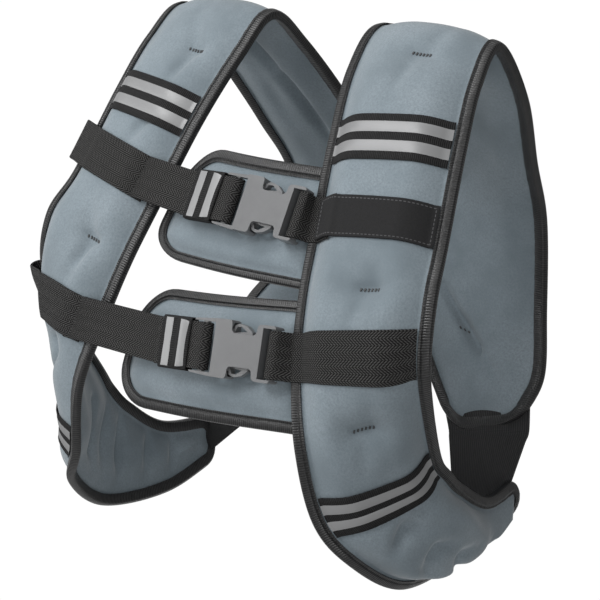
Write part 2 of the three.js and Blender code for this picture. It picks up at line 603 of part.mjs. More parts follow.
for (const fastener of fasteners) {
  const { level, webbingAt, strapAt, strapSlant, barGap, webbingEnd } = fastener;
  const chest = new Panel({
    surface: chestSurface(fastener), uEnd: 1, thickness: chestPadThickness, outerShare: 0.5, ramp: padRamp / 2,
    startCorner: 0, endCorner: chestPadCorner, mirror: 1,
  });
  add(`${level}_chest_pad`, padGeometry(chest, rowSpacing), paint.neoprene);
  add(`${level}_chest_binding`, bindingGeometry(chest, rowSpacing, false), paint.binding);

  // The buckle stands on the line from rim to rim, tilted out over the chest pad
  const strap = strapOverPanel(strapAt, strapSlant);
  const strapStart = strap[0].across(0).p;
  const leftRim = left.at(webbingAt, -1, binderHeight + clearance);
  const span = strapStart.clone().sub(leftRim);
  const w = left.lengthwise(webbingAt, -1).add(right.lengthwise(strapAt, -1));
  w.addScaledVector(span, -w.dot(span) / span.lengthSq()).normalize();
  const axis = span.clone().normalize().applyAxisAngle(w, buckleTilt);
  const out = w.clone().cross(axis).normalize();
  const origin = leftRim.clone().addScaledVector(axis, barGap - barWidth - slotWidth).addScaledVector(out, buckleRaise);
  const frame = new THREE.Matrix4().makeBasis(axis, w.clone().negate(), out).setPosition(origin);
  add(`${level}_buckle_female`, femaleGeometry(), paint.buckle, frame);
  add(`${level}_buckle_male`, maleGeometry(), paint.buckle, frame);

  // The right strap comes from its panel, turns round the ladder bar and lies back on itself in the keeper
  const bend = new THREE.Vector3(buckleLength, 0, 0).applyMatrix4(frame);
  const back = strapStart.clone().sub(bend).normalize();
  const rise = w.clone().cross(back).normalize();
  const layerGap = 2 * clearance;
  const lineAt = (distance, height) => bend.clone().addScaledVector(back, distance).addScaledVector(rise, height);
  const down = rise.clone().negate();
  const keeperFrom = 2;
  const keeperTo = keeperFrom + keeperLength;
  const strapNodes = [
    flatNode(lineAt(keeperTo + 6, layerGap), w, rise), flatNode(lineAt(0, layerGap), w, rise),
    ...hook(frame, ladderAt, Math.PI / 2, Math.PI * 1.5, w),
    flatNode(lineAt(0, 0), w, down), flatNode(lineAt(keeperTo, 0), w, down), ...strap,
  ];
  add(`right_${level}_strap`, ribbon(strapNodes, webbingWidth, webbingThickness, { pieces: 4 }), paint.webbing);

  // The keeper is a flat loop round both layers, with silver stripes on its face
  const loopFrame = new THREE.Matrix4().makeBasis(w, rise, back.clone().negate());
  loopFrame.setPosition(lineAt(keeperTo, 0));
  const innerHalf = webbingWidth / 2 + clearance;
  const low = -webbingThickness - clearance;
  const high = layerGap + webbingThickness + clearance;
  const outerHalf = innerHalf + keeperThickness;
  const top = high + keeperThickness;
  const loop = cutBody(box(-outerHalf, outerHalf, low - keeperThickness, top, 0, keeperLength), [
    box(-innerHalf, innerHalf, low, high, -1, keeperLength + 1),
  ]);
  add(`${level}_keeper`, loop, paint.webbing, loopFrame);
  for (const stripe of [0, 1]) {
    const middle = keeperLength / 2 + (0.5 - stripe) * stripeSpacing;
    const face = [top + clearance, top + clearance + stripeThickness];
    const geometry = box(-innerHalf, innerHalf, ...face, middle - stripeWidth / 2, middle + stripeWidth / 2);
    add(`${level}_keeper_stripe_${stripe + 1}`, geometry, paint.stripe, loopFrame);
  }

  // The left webbing turns round the female bar and runs over the binding on to its panel
  const panelWidth = left.half(webbingAt).rim * 2;
  const onPanel = acrossNodes(left, webbingAt, 0, 0, webbingEnd || panelWidth - border - clearance);
  const overBar = hook(frame, barWidth / 2, 0, Math.PI / 2, w);
  const pastBar = new THREE.Vector3(-2, 0, Math.hypot(barDepth, barWidth) / 2 + clearance).applyMatrix4(frame);
  const leftNodes = [...overBar, flatNode(pastBar, w, out), ...onPanel];
  add(`left_${level}_webbing`, ribbon(leftNodes, webbingWidth, webbingThickness, { pieces: 4 }), paint.webbing);
}

// Elastics from the back panels' lower ends to the inner side of the wraps
const elasticSteps = 6;
const elasticRoutes = {
  left: { innerReach: 8, innerAcross: 0.2, outerReach: 8, outerAcross: 0.2, innerShift: [-0.26, 0, -0.03] },
  right: { innerReach: 10, innerAcross: 0.1, outerReach: 62, outerAcross: 0.3, innerShift: [0, 0, 0] },
};
for (const side of ["left", "right"]) {
  const panel = panels[side];
  const route = elasticRoutes[side];
  const seat = (reach, across) => {
    const u = panel.uAt(reach);
    return panel.at(u, across, -Math.max(panel.height(u, across, -1), binderHeight) - 4 * clearance);
  };
  const lobe = (reach, across) => seat(panel.length - reach, across);
  const shift = new THREE.Vector3(...route.innerShift).multiplyScalar(chestHalfWidth);
  const edge = [lobe(0, -0.8), lobe(0, 0.8)];
  const onWrap = [seat(route.innerReach, route.innerAcross).add(shift), seat(route.outerReach, route.outerAcross)];
  const between = Array.from({ length: elasticSteps + 1 }, (_, i) =>
    edge.map((point, k) => point.clone().lerp(onWrap[k], i / elasticSteps)));
  const lines = [[lobe(12, -0.7), lobe(12, 0.7)], ...between];
  // The strip's thickness stays square to it as it twists from the back panel to the wrap
  const middles = lines.map(([a, b]) => a.clone().add(b).multiplyScalar(0.5));
  let facing = panel.normal(panel.uEnd, 0).negate();
  const nodes = lines.map(([a, b], i) => {
    const w = b.clone().sub(a).normalize();
    const along = middles[Math.min(i + 1, middles.length - 1)].clone().sub(middles[Math.max(i - 1, 0)]);
    const square = w.clone().cross(along).normalize();
    facing = square.dot(facing) < 0 ? square.negate() : square;
    return flatNode(middles[i], w, facing, a.distanceTo(b) / elasticWidth);
  });
  add(`${side}_elastic`, ribbon(nodes, elasticWidth, elasticThickness, { pieces: 4 }), paint.elastic);
}

export default vest;
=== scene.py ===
import math
import bpy
import numpy as np
from mathutils import Matrix, Vector


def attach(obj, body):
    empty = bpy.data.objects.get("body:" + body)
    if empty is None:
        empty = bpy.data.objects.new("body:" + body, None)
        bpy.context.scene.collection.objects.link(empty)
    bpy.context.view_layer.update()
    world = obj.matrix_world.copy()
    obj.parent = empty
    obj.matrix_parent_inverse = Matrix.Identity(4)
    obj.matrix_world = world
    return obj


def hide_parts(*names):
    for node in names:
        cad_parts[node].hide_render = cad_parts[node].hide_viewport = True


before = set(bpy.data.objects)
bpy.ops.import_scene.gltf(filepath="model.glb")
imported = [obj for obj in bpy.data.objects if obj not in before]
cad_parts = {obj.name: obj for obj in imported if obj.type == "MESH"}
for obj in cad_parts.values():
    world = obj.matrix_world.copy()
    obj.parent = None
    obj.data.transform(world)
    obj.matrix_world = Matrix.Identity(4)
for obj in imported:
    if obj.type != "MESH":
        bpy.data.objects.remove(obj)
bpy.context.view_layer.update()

# lengths are in mm here and become metres when a mesh is made
mm = 0.001
vest = {"height": 415, "halfWidth": 205, "frontDepth": 169, "backDepth": 110, "bow": 6}
pads = {"thickness": 24, "outerShare": 0.58, "edge": 4, "round": 2, "ramp": 26, "tip": 15, "lobe": 18, "fill": 0.8,
        "wrapAt": 1.9, "wrapSpan": 1.0, "wrapSwell": 5, "crestAt": 11.1, "crestSpan": 1.3, "crestFlat": 0.8}
tape = {"reach": 7.6, "thickness": 1, "gap": 0.6, "seam": 1}  # the binding round each edge
clearance = 0.3
binderHeight = pads["edge"] / 2 + tape["gap"] + tape["thickness"]
border = tape["reach"] + 2

# inner edge x, y, z then outer edge x, y, z, as shares of the vest's half width, depths and height
stations = np.array([
    (0.78, 0.34, -0.95, 0.82, 0.35, -0.865),     # 0 tip of the wrap
    (0.77, -0.18, -0.99, 0.87, -0.08, -0.86),    # 1 ribs
    (0.785, -0.61, -0.98, 0.88, -0.31, -0.805),  # 2 side
    (0.725, -0.89, -0.9, 0.89, -0.42, -0.765),   # 3 turn
    (0.625, -0.97, -0.825, 0.89, -0.5, -0.725),  # 4 low band
    (0.565, -1, -0.69, 0.945, -0.65, -0.615),    # 5 low tack
    (0.49, -0.91, -0.565, 0.985, -0.74, -0.515),  # 6 low strap
    (0.44, -0.8, -0.455, 0.98, -0.7, -0.41),     # 7 middle tack
    (0.395, -0.66, -0.35, 0.935, -0.56, -0.33),  # 8 high strap
    (0.33, -0.445, -0.198, 0.873, -0.34, -0.176),  # 9 high band
    (0.273, -0.23, -0.077, 0.83, -0.17, -0.075),  # 10 top tack
    (0.263, -0.02, -0.01, 0.8, 0.035, -0.02),    # 11 crest
    (0.288, 0.37, -0.077, 0.78, 0.39, -0.128),   # 12 back of the shoulder
    (0.2, 0.71, -0.21, 0.707, 0.73, -0.27),      # 13 blade
    (0.01, 0.93, -0.388, 0.663, 1, -0.398),      # 14 top of the back seam
    (0.01, 0.88, -0.569, 0.688, 0.97, -0.569),   # 15 end of the back seam
    (0.205, 0.655, -0.675, 0.785, 0.7, -0.68),   # 16 flare
    (0.43, 0.51, -0.817, 0.746, 0.53, -0.76),    # 17 lobe
])
lastStation = len(stations) - 1
lean = {"left": (-0.08, 0.16, -0.017), "right": (0, 0, -0.055)}  # how far the tip of each wrap is moved
leanEnd = 6  # the station where the move has faded out
sideSign = {"left": 1, "right": -1}

dent = {"length": 13, "fade": 0.26, "depth": 6.5}
pinch = {"length": 4.5, "span": 0.1, "fade": 0.09, "depth": 4}
crease = {"depth": 1.5, "ends": 0.35, "shift": 0.12}
# dents where bar tacks hold the filling: station, across, half span, depth
tacks = {
    "left": [(10.3, 0.1, 0.12, 0.8), (7.15, 0.14, 0.14, 0.9), (5.1, 0.02, 0.14, 1)],
    "right": [(9.85, -0.28, 0.1, 0.9), (7.05, -0.3, 0.12, 0.9), (5.2, -0.08, 0.12, 1)],
}
innerTacks = {"left": [(15.55, -0.17, 0.08, 0.5)], "right": []}
# soft lines pressed into the outer face: station and across of both ends, depth, width
creases = {
    "left": [
        (10.2, 0.05, 9.5, -0.12, 1.6, 6), (10.35, 0.2, 10.9, 0.3, 1.2, 7), (7.05, 0.1, 6.55, 0, 1.8, 6),
        (7.2, 0.2, 7.7, 0.25, 1, 7), (5.0, 0, 4.6, -0.12, 2, 6), (5.2, 0.1, 5.6, 0.2, 1.2, 7),
        (3.12, 0.0, 2.85, -0.42, 5, 5), (3.3, 0.45, 3.1, 0.05, 2, 7), (3.05, -0.02, 2.75, 0.1, 2.5, 5),
        (2.3, -0.05, 2.2, -0.35, 5, 5), (2.2, -0.35, 1.86, -0.7, 4, 6), (2.3, 0.0, 2.0, 0.1, 3, 5),
        (1.72, -0.1, 1.5, -0.4, 5, 5), (1.5, -0.4, 1.24, -0.7, 4, 6), (1.72, -0.05, 1.4, 0.05, 2.5, 5),
        (1.0, 0.2, 0.85, -0.4, 2, 8),
    ],
    "right": [
        (9.75, -0.3, 9.25, -0.25, 3, 6), (9.9, -0.25, 10.5, 0.1, 2, 7), (7.0, -0.3, 6.4, -0.22, 4.5, 6),
        (7.1, -0.28, 7.7, 0.0, 2.4, 7), (5.1, -0.08, 4.5, 0.0, 4.5, 6), (5.25, -0.1, 5.65, 0.05, 2.4, 7),
        (8.8, -0.3, 8.5, -0.1, 2.5, 6),
        (3.2, 0.4, 2.9, -0.5, 2.2, 7), (2.5, 0.5, 2.25, -0.5, 2.4, 6), (1.7, 0.5, 1.5, -0.5, 2, 6),
    ],
}
# the same on the face towards the wearer
innerCreases = {
    "left": [(14.95, -0.38, 15.4, -0.16, 4, 5), (15.35, -0.18, 15.76, 0.0, 6, 6), (15.76, 0.0, 15.76, 0.05, 4, 10),
             (15.9, 0.1, 16.4, 0.5, 2, 8), (14.2, -0.6, 13.2, 0.2, 1.2, 10), (12.6, -0.3, 11.6, 0.3, 1.4, 12)],
    "right": [(4.0, 0.15, 2.65, -0.55, 5, 6), (2.25, 0.8, 1.85, -0.62, 6, 6), (1.38, 0.9, 1.35, -0.8, 5.5, 5.5),
              (0.8, 0.9, 0.92, -0.9, 5, 5.5), (0.3, 0.45, 0.43, -0.8, 3.5, 5), (2.95, 0.6, 2.3, -0.6, 3.5, 6),
              (11.7, 0.05, 12.62, -0.1, 5, 6), (12.5, -0.09, 13.5, -0.24, 5.5, 6), (13.0, 0.35, 12.2, 0.3, 2, 10)],
}


def unit(a):
    return a / np.maximum(np.linalg.norm(a, axis=-1, keepdims=True), 1e-12)


def spline(points, t):
    last = len(points) - 1
    t = np.clip(t, 0, last)
    i = np.clip(np.floor(t).astype(int), 0, last - 1)
    f = (t - i)[..., None]
    wide = np.concatenate([2 * points[:1] - points[1:2], points, 2 * points[-1:] - points[-2:-1]])
    p0, p1, p2, p3 = wide[i], wide[i + 1], wide[i + 2], wide[i + 3]
    m1, m2 = (p2 - p0) / 2, (p3 - p1) / 2
    return ((2 * f**3 - 3 * f**2 + 1) * p1 + (f**3 - 2 * f**2 + f) * m1
            + (3 * f**2 - 2 * f**3) * p2 + (f**3 - f**2) * m2)


def shoulderSurface(side):
    fade = np.clip((leanEnd - np.arange(len(stations))) / leanEnd, 0, None)
    move = np.array(lean[side]) * fade[:, None]

    def edge(k):
        x, y, z = stations[:, k:k + 3].T
        depth = np.where(y < 0, vest["frontDepth"], vest["backDepth"])
        return np.stack([(x + move[:, 0]) * vest["halfWidth"], y * depth + move[:, 1] * vest["backDepth"],
                         (z + move[:, 2]) * vest["height"]], -1)

    inner, outer = edge(0), edge(3)
    seamHalf = tape["thickness"] + tape["gap"] + tape["seam"]

    def surface(u, q):
        u, q = np.broadcast_arrays(np.asarray(u, float), np.asarray(q, float))
        a, b = spline(inner, u), spline(outer, u)
        a[..., 0] = np.maximum(a[..., 0], seamHalf)
        along = (unit(spline(inner, u + 0.01) - spline(inner, u - 0.01))
                 + unit(spline(outer, u + 0.01) - spline(outer, u - 0.01)))
        bow = unit(np.cross(b - a, along))
        p = a + (b - a) * ((q + 1) / 2)[..., None] + bow * (vest["bow"] * (1 - q * q))[..., None]
        p[..., 0] *= sideSign[side]
        return p
    return surface


class Panel:  # a padded panel over a middle surface: u runs along it and v across, -1 at its inner edge
    def __init__(self, surface, uEnd, thickness, outerShare, ramp, startCorner, endCorner, mirror,
                 dents=(), lines=(), innerLines=()):
        self.surface, self.uEnd, self.mirror = surface, uEnd, mirror
        self.thickness, self.outerShare, self.ramp = thickness, outerShare, ramp
        self.startCorner, self.endCorner = startCorner, endCorner
        self.dents, self.lines, self.innerLines = dents, lines, innerLines
        self.steps = np.linspace(0, uEnd, 1201)
        path = surface(self.steps, 0 * self.steps)
        self.lengths = np.concatenate([[0], np.cumsum(np.linalg.norm(np.diff(path, axis=0), axis=1))])
        self.length = self.lengths[-1]

    def reach(self, u):
        return np.interp(u, self.steps, self.lengths)

    def uAt(self, reach):
        return np.interp(reach, self.lengths, self.steps)

    def half(self, u):
        full = np.linalg.norm(self.surface(u, 1 + 0 * u) - self.surface(u, -1 + 0 * u), axis=-1) / 2
        s = self.reach(u)

        def cut(radius, away):
            short = np.maximum(radius - away, 0)
            return np.where(away < radius, radius - np.sqrt(np.maximum(radius**2 - short**2, 0)), 0)
        return full, full - np.maximum(cut(self.startCorner, s), cut(self.endCorner, self.length - s))

    def normal(self, u, q):
        du = self.uEnd / 1000
        a = self.surface(np.minimum(u + du, self.uEnd), q) - self.surface(np.maximum(u - du, 0), q)
        b = self.surface(u, q + 0.02) - self.surface(u, q - 0.02)
        return unit(np.cross(b, a)) * self.mirror

    def lengthwise(self, u, q):
        du = self.uEnd / 1000
        return unit(self.surface(np.minimum(u + du, self.uEnd), q) - self.surface(np.maximum(u - du, 0), q))

    def speed(self, u, v):
        return np.linalg.norm(self.surface(u + 0.01, v) - self.surface(u - 0.01, v), axis=-1) / 0.02

    def at(self, u, v, rise=0.0):
        u, v, rise = np.broadcast_arrays(np.asarray(u, float), np.asarray(v, float), np.asarray(rise, float))
        full, rim = self.half(u)
        q = v * rim / full
        return self.surface(u, q) + self.normal(u, q) * rise[..., None]

    def squareness(self, u, side):
        du = self.uEnd / 500
        rim = unit(self.at(np.minimum(u + du, self.uEnd), side) - self.at(np.maximum(u - du, 0), side))
        across = unit(self.surface(u, 1 + 0 * u) - self.surface(u, -1 + 0 * u))
        return np.linalg.norm(np.cross(across, rim), axis=-1)

    def fromEdge(self, u, v):
        rim = self.half(u)[1]
        side = np.where(v < 0, -1.0, 1.0)
        s = self.reach(u)
        return np.minimum(rim * (1 - np.abs(v)) * self.squareness(u, side), np.minimum(s, self.length - s))

    def pressed(self, u, v, lines):  # how deep the soft lines go at a point
        total = 0 * u
        rim = self.half(u)[1]
        x, y = self.reach(u), v * rim
        for u0, v0, u1, v1, depth, width in lines:
            ends = np.array([u0, u1], float)
            rims = self.half(ends)[1]
            a = np.array([self.reach(u0), v0 * rims[0]])
            b = np.array([self.reach(u1), v1 * rims[1]])
            d = b - a
            t = np.clip(((x - a[0]) * d[0] + (y - a[1]) * d[1]) / (d @ d), 0, 1)
            away = np.hypot(x - a[0] - t * d[0], y - a[1] - t * d[1])
            taper = np.sin(np.pi * np.clip(t + crease["shift"], 0, 1)) * (1 - crease["ends"]) + crease["ends"]
            total = total + crease["depth"] * depth * np.exp(-(away / width) ** 2) * taper
        return total

    def height(self, u, v, face, detail=True):
        u, v = np.broadcast_arrays(np.asarray(u, float), np.asarray(v, float))
        full, rim = self.half(u)
        shaped = face > 0 and len(self.dents) > 0  # only the outer face of a shoulder panel
        fuller = np.exp(-((u - pads["wrapAt"]) / pads["wrapSpan"]) ** 2) if shaped else 0 * u
        ramp = self.ramp * (1 - 0.5 * fuller)
        swell = np.sin(np.pi / 2 * np.clip((self.fromEdge(u, v) - border) / ramp, 0, 1))
        edge = pads["edge"] / 2
        share = self.outerShare if face > 0 else 1 - self.outerShare
        h = edge + (self.thickness * share - edge + pads["wrapSwell"] * fuller) * swell
        if shaped:
            for at, across, span, depth in self.dents:
                away = self.reach(u) - self.reach(at)
                aside = np.abs(v * rim / full - across)
                broad = (away / dent["length"]) ** 2 + (np.maximum(0, aside - span) / dent["fade"]) ** 2
                tight = (away / pinch["length"]) ** 2 + (np.maximum(0, aside - pinch["span"]) / pinch["fade"]) ** 2
                h = h - depth * swell * (dent["depth"] * np.exp(-broad) + pinch["depth"] * np.exp(-tight))
            h = h - (h - edge) * pads["crestFlat"] * np.exp(-((u - pads["crestAt"]) / pads["crestSpan"]) ** 2)
        if detail:
            h = h - swell * self.pressed(u, v, self.lines if face > 0 else self.innerLines)
        return np.maximum(h, edge)

    def inset(self, u, v, d):  # where a rim point comes to when the outline shrinks by d
        s = self.reach(u)
        atEnd = s > self.length / 2
        radius = np.where(atEnd, self.endCorner, self.startCorner)
        fromEnd = np.where(atEnd, self.length - s, s)
        full, rim = self.half(u)
        side = np.where(v < 0, -1.0, 1.0)
        straight = v * (1 - d / rim / np.maximum(self.squareness(u, side), 0.2))
        shrink = 1 - d / np.maximum(radius, 1e-6)
        insetEnd = radius - (radius - fromEnd) * shrink
        insetU = self.uAt(np.where(atEnd, self.length - insetEnd, insetEnd))
        fullThere, rimThere = self.half(insetU)
        x = np.abs(v) * (fullThere - radius) + (rim - full + radius) * shrink
        corner = fromEnd < radius
        return np.where(corner, insetU, u), np.where(corner, side * x / rimThere, straight)


panels = {}
for side in ("left", "right"):
    panels[side] = Panel(shoulderSurface(side), lastStation, pads["thickness"], pads["outerShare"], pads["ramp"],
                         pads["tip"], pads["lobe"], sideSign[side], tacks[side], creases[side], innerCreases[side])
left, right = panels["left"], panels["right"]


# one shader socket, with the sums and products of its values
class Wire:
    def __init__(self, finish, socket):
        self.finish, self.socket = finish, socket

    def use(self, operation, *others):
        return self.finish.add("ShaderNodeMath", {"operation": operation}, [self, *others])

    def __add__(self, other):
        return self.use("ADD", other)

    def __mul__(self, other):
        return self.use("MULTIPLY", other)

    def __sub__(self, other):
        return self.use("SUBTRACT", other)

    def __rsub__(self, other):
        return self.finish.add("ShaderNodeMath", {"operation": "SUBTRACT"}, [other, self])

    __radd__ = __add__
    __rmul__ = __mul__


class Finish:  # a material made of nodes
    def __init__(self, name, **fixed):
        self.material = bpy.data.materials.new(name)
        self.material.use_nodes = True
        self.tree = self.material.node_tree
        self.shader = self.tree.nodes["Principled BSDF"]
        for socket, value in fixed.items():
            self.shader.inputs[socket.replace("_", " ")].default_value = value

    def add(self, kind, settings, inputs, output=0):
        node = self.tree.nodes.new(kind)
        for key, value in settings.items():
            if key == "stops":
                while len(node.color_ramp.elements) < len(value):
                    node.color_ramp.elements.new(0.5)
                for stop, (place, colour) in zip(node.color_ramp.elements, value):
                    stop.position, stop.color = place, (*colour, 1)
            else:
                setattr(node, key, value)
        for key, value in (inputs.items() if isinstance(inputs, dict) else enumerate(inputs)):
            self.link(value, node.inputs[key])
        return Wire(self, node.outputs[output])

    def link(self, value, socket):
        if isinstance(value, Wire):
            self.tree.links.new(value.socket, socket)
        else:
            socket.default_value = value

    def feed(self, **sockets):
        for name, value in sockets.items():
            self.link(value, self.shader.inputs[name.replace("_", " ")])

    def uv(self):  # millimetres along and across the piece
        wire = self.add("ShaderNodeUVMap", {"uv_map": "UVMap"}, {})
        split = self.add("ShaderNodeSeparateXYZ", {}, [wire])
        return split, Wire(self, split.socket.node.outputs[1])

    def noise(self, scale, detail=2.0, rough=0.5):
        place = self.add("ShaderNodeTexCoord", {}, {}, output=3)
        sockets = {"Vector": place, "Scale": scale, "Detail": detail, "Roughness": rough}
        return self.add("ShaderNodeTexNoise", {}, sockets)

    def blend(self, factor, first, second):
        first, second = [c if isinstance(c, Wire) else (*c, 1) for c in (first, second)]
        return self.add("ShaderNodeMix", {"data_type": "RGBA"}, {0: factor, 6: first, 7: second}, output=2)

    def bump(self, height, distance, strength=1.0):
        return self.add("ShaderNodeBump", {}, {"Height": height, "Distance": distance, "Strength": strength})


def ribbing(place, pitch):  # from 0 to 1 and back over each pitch
    return (place * (2 * math.pi / pitch)).use("SINE") * 0.5 + 0.5


def dashes(place, pitch, share):
    return (place * (1 / pitch)).use("FRACT").use("LESS_THAN", share)


def neopreneFinish():
    look = {"base": (0.178, 0.214, 0.238), "light": (0.215, 0.252, 0.278), "dark": (0.125, 0.155, 0.175)}
    f = Finish("greyBlueNeoprene", Roughness=0.78, Sheen_Weight=0.25, Sheen_Roughness=0.45, Specular_IOR_Level=0.25)
    broad = f.noise(16, 3.0, 0.55)
    stops = [(0.3, look["dark"]), (0.5, look["base"]), (0.72, look["light"])]
    tint = f.add("ShaderNodeValToRGB", {"stops": stops}, [broad])
    fine = f.noise(620, 3.0, 0.75)
    f.feed(Base_Color=f.blend(fine * 2.2 - 0.75, tint, look["dark"]), Roughness=fine * 0.2 + 0.7,
           Normal=f.bump(fine + f.noise(220, 2.0) * 0.6, 0.0004, 0.35))
    return f.material


def tapeFinish():
    f = Finish("blackRibbedTape", Roughness=0.36, Specular_IOR_Level=0.45)
    along, across = f.uv()
    seam = 1.7  # how far the stitches lie from the tape's edge
    ribs, dash = ribbing(along, 1.9), dashes(along, 3.4, 0.62)
    line = (across - seam).use("ABSOLUTE").use("LESS_THAN", 0.42)
    # groove: the dip along the stitch line, used for the bump and for painted shade in the colour
    groove = 1 - ((across - seam).use("ABSOLUTE") * 0.7).use("MINIMUM", 1.0)
    stitch = dash * line
    worn = f.noise(240, 3.0, 0.6)
    cloth = f.blend(ribs * 1.1 * worn, (0.002, 0.002, 0.0022), (0.04, 0.04, 0.041))
    # painted shade: between the stitches the groove along the stitch line is painted near black
    f.feed(Base_Color=f.blend(groove * (1 - dash), cloth, (0.003, 0.003, 0.003)),
           Normal=f.bump(ribs * 0.45 - groove * 1.8 + stitch * 1.2 + worn * 0.4, 0.0006, 0.8))
    return f.material


def webbingFinish():
    f = Finish("charcoalHerringbone", Roughness=0.75, Specular_IOR_Level=0.2)
    along, across = f.uv()
    zigzag = (across + 100).use("PINGPONG", 4.5)
    rib, threads = ribbing(along + zigzag * 1.2, 2.5), ribbing(across + 40, 1.5)
    worn = f.noise(600, 3.0, 0.7)
    raised = rib * (threads * 0.6 + 0.4)
    f.feed(Base_Color=f.blend(raised * 1.5 + worn * 0.5 - 0.4, (0.002, 0.002, 0.0022), (0.088, 0.087, 0.085)),
           Normal=f.bump(raised + worn * 0.3, 0.0014, 1.0))
    return f.material


def bandFinish():
    f = Finish("blackBandRibs", Roughness=0.8, Specular_IOR_Level=0.25)
    along, across = f.uv()
    ribs = ribbing(along, 1.5)
    worn = f.noise(400, 3.0, 0.6)
    f.feed(Base_Color=f.blend(ribs * 0.8 * worn, (0.003, 0.003, 0.0032), (0.034, 0.034, 0.035)),
           Normal=f.bump(ribs + worn * 0.5, 0.0004, 0.8))
    return f.material


def silverFinish():
    f = Finish("silverReflectiveTape", Metallic=0.15, Roughness=0.42)
    grain = f.noise(1800, 2.0, 0.6)
    broad = f.noise(30, 2.0)
    f.feed(Base_Color=f.blend(broad, (0.19, 0.192, 0.195), (0.24, 0.242, 0.245)), Roughness=grain * 0.25 + 0.33,
           Normal=f.bump(grain, 0.00015, 0.5))
    return f.material


def patchFinish(length, width):
    f = Finish("blackWovenPatch", Roughness=0.85, Specular_IOR_Level=0.2)
    along, across = f.uv()
    pitch, inset, overrun = 0.8, 2.6, 0.3  # of the weave and of the stitch line round the edge
    weave = (along * (2 * math.pi / pitch)).use("SINE") * (across * (2 * math.pi / pitch)).use("SINE") * 0.5 + 0.5
    endGap = ((along - length / 2).use("ABSOLUTE") - (length / 2 - inset)).use("ABSOLUTE")
    sideGap = (across.use("ABSOLUTE") - (width / 2 - inset)).use("ABSOLUTE")
    inLength = (along - length / 2).use("ABSOLUTE").use("LESS_THAN", length / 2 - inset + overrun)
    inWidth = across.use("ABSOLUTE").use("LESS_THAN", width / 2 - inset + overrun)
    rows = sideGap.use("LESS_THAN", 0.38) * dashes(along, 3.2, 0.6) * inLength
    ends = endGap.use("LESS_THAN", 0.38) * dashes(across + 50, 3.2, 0.6) * inWidth
    stitch = (rows + ends).use("MINIMUM", 1.0)
    felt = f.noise(700, 3.0, 0.7)
    cloth = f.blend(weave * 0.5 + felt * 0.5, (0.004, 0.004, 0.0042), (0.026, 0.026, 0.027))
    f.feed(Base_Color=f.blend(stitch, cloth, (0.075, 0.075, 0.078)),
           Normal=f.bump(weave * 0.4 + felt * 0.6 + stitch * 1.6, 0.0004, 0.8))
    return f.material


def elasticFinish():
    f = Finish("mattBlackElastic", Roughness=0.85, Specular_IOR_Level=0.2)
    along, across = f.uv()
    ribs, knit = ribbing(across, 1.4), ribbing(along, 0.9)
    f.feed(Base_Color=f.blend(ribs * knit, (0.016, 0.016, 0.0165), (0.055, 0.055, 0.056)),
           Normal=f.bump(ribs + knit * 0.4, 0.0004, 0.7))
    return f.material


def plasticFinish():
    f = Finish("greyMouldedPlastic", Roughness=0.3, Specular_IOR_Level=0.6)
    grain = f.noise(1400, 2.0, 0.6)
    worn = f.noise(60, 3.0, 0.6)
    f.feed(Base_Color=f.blend(worn, (0.1, 0.102, 0.105), (0.14, 0.142, 0.146)), Roughness=grain * 0.14 + 0.24,
           Normal=f.bump(grain, 0.0001, 0.35))
    return f.material


def threadFinish():
    f = Finish("darkThread", Roughness=0.6)
    twist = f.noise(2500, 2.0, 0.6)
    f.feed(Base_Color=f.blend(twist, (0.012, 0.013, 0.014), (0.05, 0.053, 0.056)),
           Normal=f.bump(twist, 0.0002, 0.6))
    return f.material


finishes = {"neoprene": neopreneFinish(), "binding": tapeFinish(), "webbing": webbingFinish(), "band": bandFinish(),
            "stripe": silverFinish(), "elastic": elasticFinish(), "buckle": plasticFinish(), "thread": threadFinish()}
print("finishes made")


def dropSelection():
    if bpy.context.object and bpy.context.object.mode != "OBJECT":
        bpy.ops.object.mode_set(mode="OBJECT")
    bpy.ops.object.select_all(action="DESELECT")


def pick(piece):
    dropSelection()
    piece.select_set(True)
    bpy.context.view_layer.objects.active = piece


def tidyMesh(piece):
    pick(piece)
    bpy.ops.object.mode_set(mode="EDIT")
    bpy.ops.mesh.select_all(action="SELECT")
    bpy.ops.mesh.remove_doubles(threshold=0.02 * mm)
    bpy.ops.mesh.normals_make_consistent(inside=False)
    bpy.ops.object.mode_set(mode="OBJECT")
    bpy.ops.object.shade_smooth_by_angle(angle=math.radians(50))


def latticePiece(name, points, uv, finish):  # a grid laid over rows and columns of points
    dropSelection()
    rows, columns = points.shape[0] - 1, points.shape[1] - 1
    bpy.ops.mesh.primitive_grid_add(x_subdivisions=columns, y_subdivisions=rows, size=1, location=(0, 0, 0))
    piece = bpy.context.object
    piece.name = piece.data.name = name
    mesh = piece.data
    flat = np.zeros(len(mesh.vertices) * 3)
    mesh.vertices.foreach_get("co", flat)
    flat = flat.reshape(-1, 3)
    column = np.rint((flat[:, 0] + 0.5) * columns).astype(int)
    row = np.rint((flat[:, 1] + 0.5) * rows).astype(int)
    mesh.vertices.foreach_set("co", (points[row, column] * mm).ravel())
    corners = np.zeros(len(mesh.loops), int)
    mesh.loops.foreach_get("vertex_index", corners)
    mesh.uv_layers[0].name = "UVMap"
    mesh.uv_layers[0].data.foreach_set("uv", uv[row, column][corners].ravel())
    mesh.update()
    tidyMesh(piece)
    piece.data.materials.append(finish)
    return piece


def settle(piece, slot, *nodes):
    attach(piece, "root")
    if nodes:
        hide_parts(*nodes)
    return piece


# rows and columns stand closer at the ends and edges: places of the end rows, where the even ones start
padGrid = {"ends": [0, 0.6, 1.5, 3, 5, 7.5, 10, 13, 17, 22, 28], "even": 34, "crowding": 0.35}


